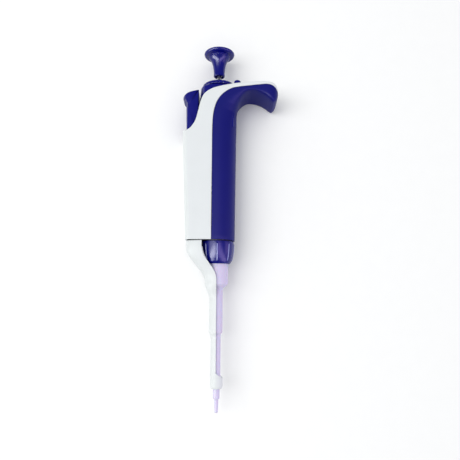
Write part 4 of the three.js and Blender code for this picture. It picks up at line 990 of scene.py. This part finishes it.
# ------------------------------------------------------------------------------ the stage
class PIPETTE_OT_stage(bpy.types.Operator):
    """Pale floor, soft studio light and the camera"""
    bl_idname = "pipette.stage"
    bl_label = "Stage"
    floor_half = 2.5
    camera_place, camera_turn, camera_lens = [8.2, 72.6, 298], [8, 0, 0.32], 36

    def light(self, name, place, size, power, colour, matt=True, kept_off=None):
        """A soft light at a place in metres from the pipette's middle, turned to face it.
        Without matt it shows only in reflections. kept_off is an object it doesn't reach."""
        lamp = bpy.data.lights.new(name, "AREA")
        lamp.shape, lamp.size, lamp.size_y = "RECTANGLE", size[0], size[1]
        lamp.energy, lamp.color = power, colour
        holder = bpy.data.objects.new(name, lamp)
        holder.location = place
        holder.rotation_euler = (-Vector(place)).to_track_quat("-Z", "Y").to_euler()
        if kept_off:
            # Light linking: everything takes this light except the one object.
            others = bpy.data.collections.new(name + "_linking")
            others.objects.link(kept_off)
            others.collection_objects[0].light_linking.link_state = "EXCLUDE"
            holder.light_linking.receiver_collection = others
        holder.visible_diffuse = matt
        bpy.context.scene.collection.objects.link(holder)

    def execute(self, context):
        scene = context.scene
        scene.view_settings.view_transform = "Standard"
        half = self.floor_half
        mesh = bpy.data.meshes.new("floor")
        mesh.from_pydata([(-half, -half, 0), (half, -half, 0), (half, half, 0),
                          (-half, half, 0)], [], [(0, 1, 2, 3)])
        floor = bpy.data.objects.new("floor", mesh)
        scene.collection.objects.link(floor)
        paper = moulded("paper_white", (0.93, 0.93, 0.93), 0.9, 1.4, 2, 0.02, shade=0.01)
        mesh.materials.append(paper)
        world = bpy.data.worlds.new("studio")
        world.use_nodes = True
        # The room is bright to matt surfaces and dimmer in reflections, as in a studio tent
        # with dark walls, so that the polished blue stays deep.
        tree = world.node_tree
        background = tree.nodes["Background"]
        background.inputs["Color"].default_value = (0.98, 0.99, 1, 1)
        on_matt, in_gloss = 0.82, 0.14
        rays = node(tree, "ShaderNodeLightPath")
        strength = node(tree, "ShaderNodeMapRange", {"To Min": on_matt, "To Max": in_gloss},
                        {"Value": rays.outputs["Is Glossy Ray"]})
        tree.links.new(strength.outputs["Result"], background.inputs["Strength"])
        scene.world = world
        self.light("window_light", (-0.62, 0.02, 0.86), (0.5, 0.9), 4.9, (1, 1, 1))
        self.light("window_sheen", (-0.8, -0.35, 0.62), (0.4, 1.8), 36, (0.97, 0.98, 1),
                   matt=False, kept_off=floor)
        self.light("violet_sheen", (0.62, -0.35, 0.8), (0.4, 1.8), 14, (0.72, 0.55, 1),
                   matt=False, kept_off=floor)
        self.light("violet_wash", (0.95, -0.05, 0.3), (0.3, 0.6), 1.6, (0.7, 0.5, 1),
                   kept_off=floor)
        camera_data = bpy.data.cameras.new("camera")
        camera_data.lens, camera_data.sensor_width = self.camera_lens, 36
        camera = bpy.data.objects.new("camera", camera_data)
        camera.location = placed(self.camera_place)
        camera.rotation_euler = np.radians(self.camera_turn)
        scene.collection.objects.link(camera)
        scene.camera = camera
        return {"FINISHED"}


class PIPETTE_PT_panel(bpy.types.Panel):
    """Lists the pipette's sizes, colours and pieces"""
    bl_idname = "PIPETTE_PT_panel"
    bl_label = "Pipette"
    bl_space_type = "VIEW_3D"
    bl_region_type = "UI"
    bl_category = "Pipette"

    def draw(self, context):
        for group in (context.scene.pipette_colours, context.scene.pipette_sizes):
            for name in group.__annotations__:
                self.layout.prop(group, name)
        for piece in OPERATORS:
            self.layout.operator(piece.bl_idname)


OPERATORS = (PIPETTE_OT_shells, PIPETTE_OT_top_collar, PIPETTE_OT_thumbwheel,
             PIPETTE_OT_plunger, PIPETTE_OT_coupling_nut, PIPETTE_OT_shaft,
             PIPETTE_OT_ejector_button, PIPETTE_OT_ejector_arm, PIPETTE_OT_counter,
             PIPETTE_OT_springs, PIPETTE_OT_inner_parts, PIPETTE_OT_stage)
CLASSES = (PipetteColours, PipetteSizes, *OPERATORS, PIPETTE_PT_panel)


def register():
    for each in CLASSES:
        bpy.utils.register_class(each)
    bpy.types.Scene.pipette_colours = bpy.props.PointerProperty(type=PipetteColours)
    bpy.types.Scene.pipette_sizes = bpy.props.PointerProperty(type=PipetteSizes)


def unregister():
    del bpy.types.Scene.pipette_colours
    del bpy.types.Scene.pipette_sizes
    for each in reversed(CLASSES):
        bpy.utils.unregister_class(each)


def main():
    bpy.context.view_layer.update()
    register()
    mix_materials(bpy.context.scene.pipette_colours)
    bpy.ops.pipette.shells()
    bpy.ops.pipette.top_collar()
    bpy.ops.pipette.thumbwheel()
    bpy.ops.pipette.plunger()
    bpy.ops.pipette.coupling_nut()
    bpy.ops.pipette.shaft()
    bpy.ops.pipette.ejector_button()
    bpy.ops.pipette.ejector_arm()
    bpy.ops.pipette.counter()
    bpy.ops.pipette.springs()
    bpy.ops.pipette.inner_parts()
    bpy.ops.pipette.stage()


if __name__ == "__main__":
    main()
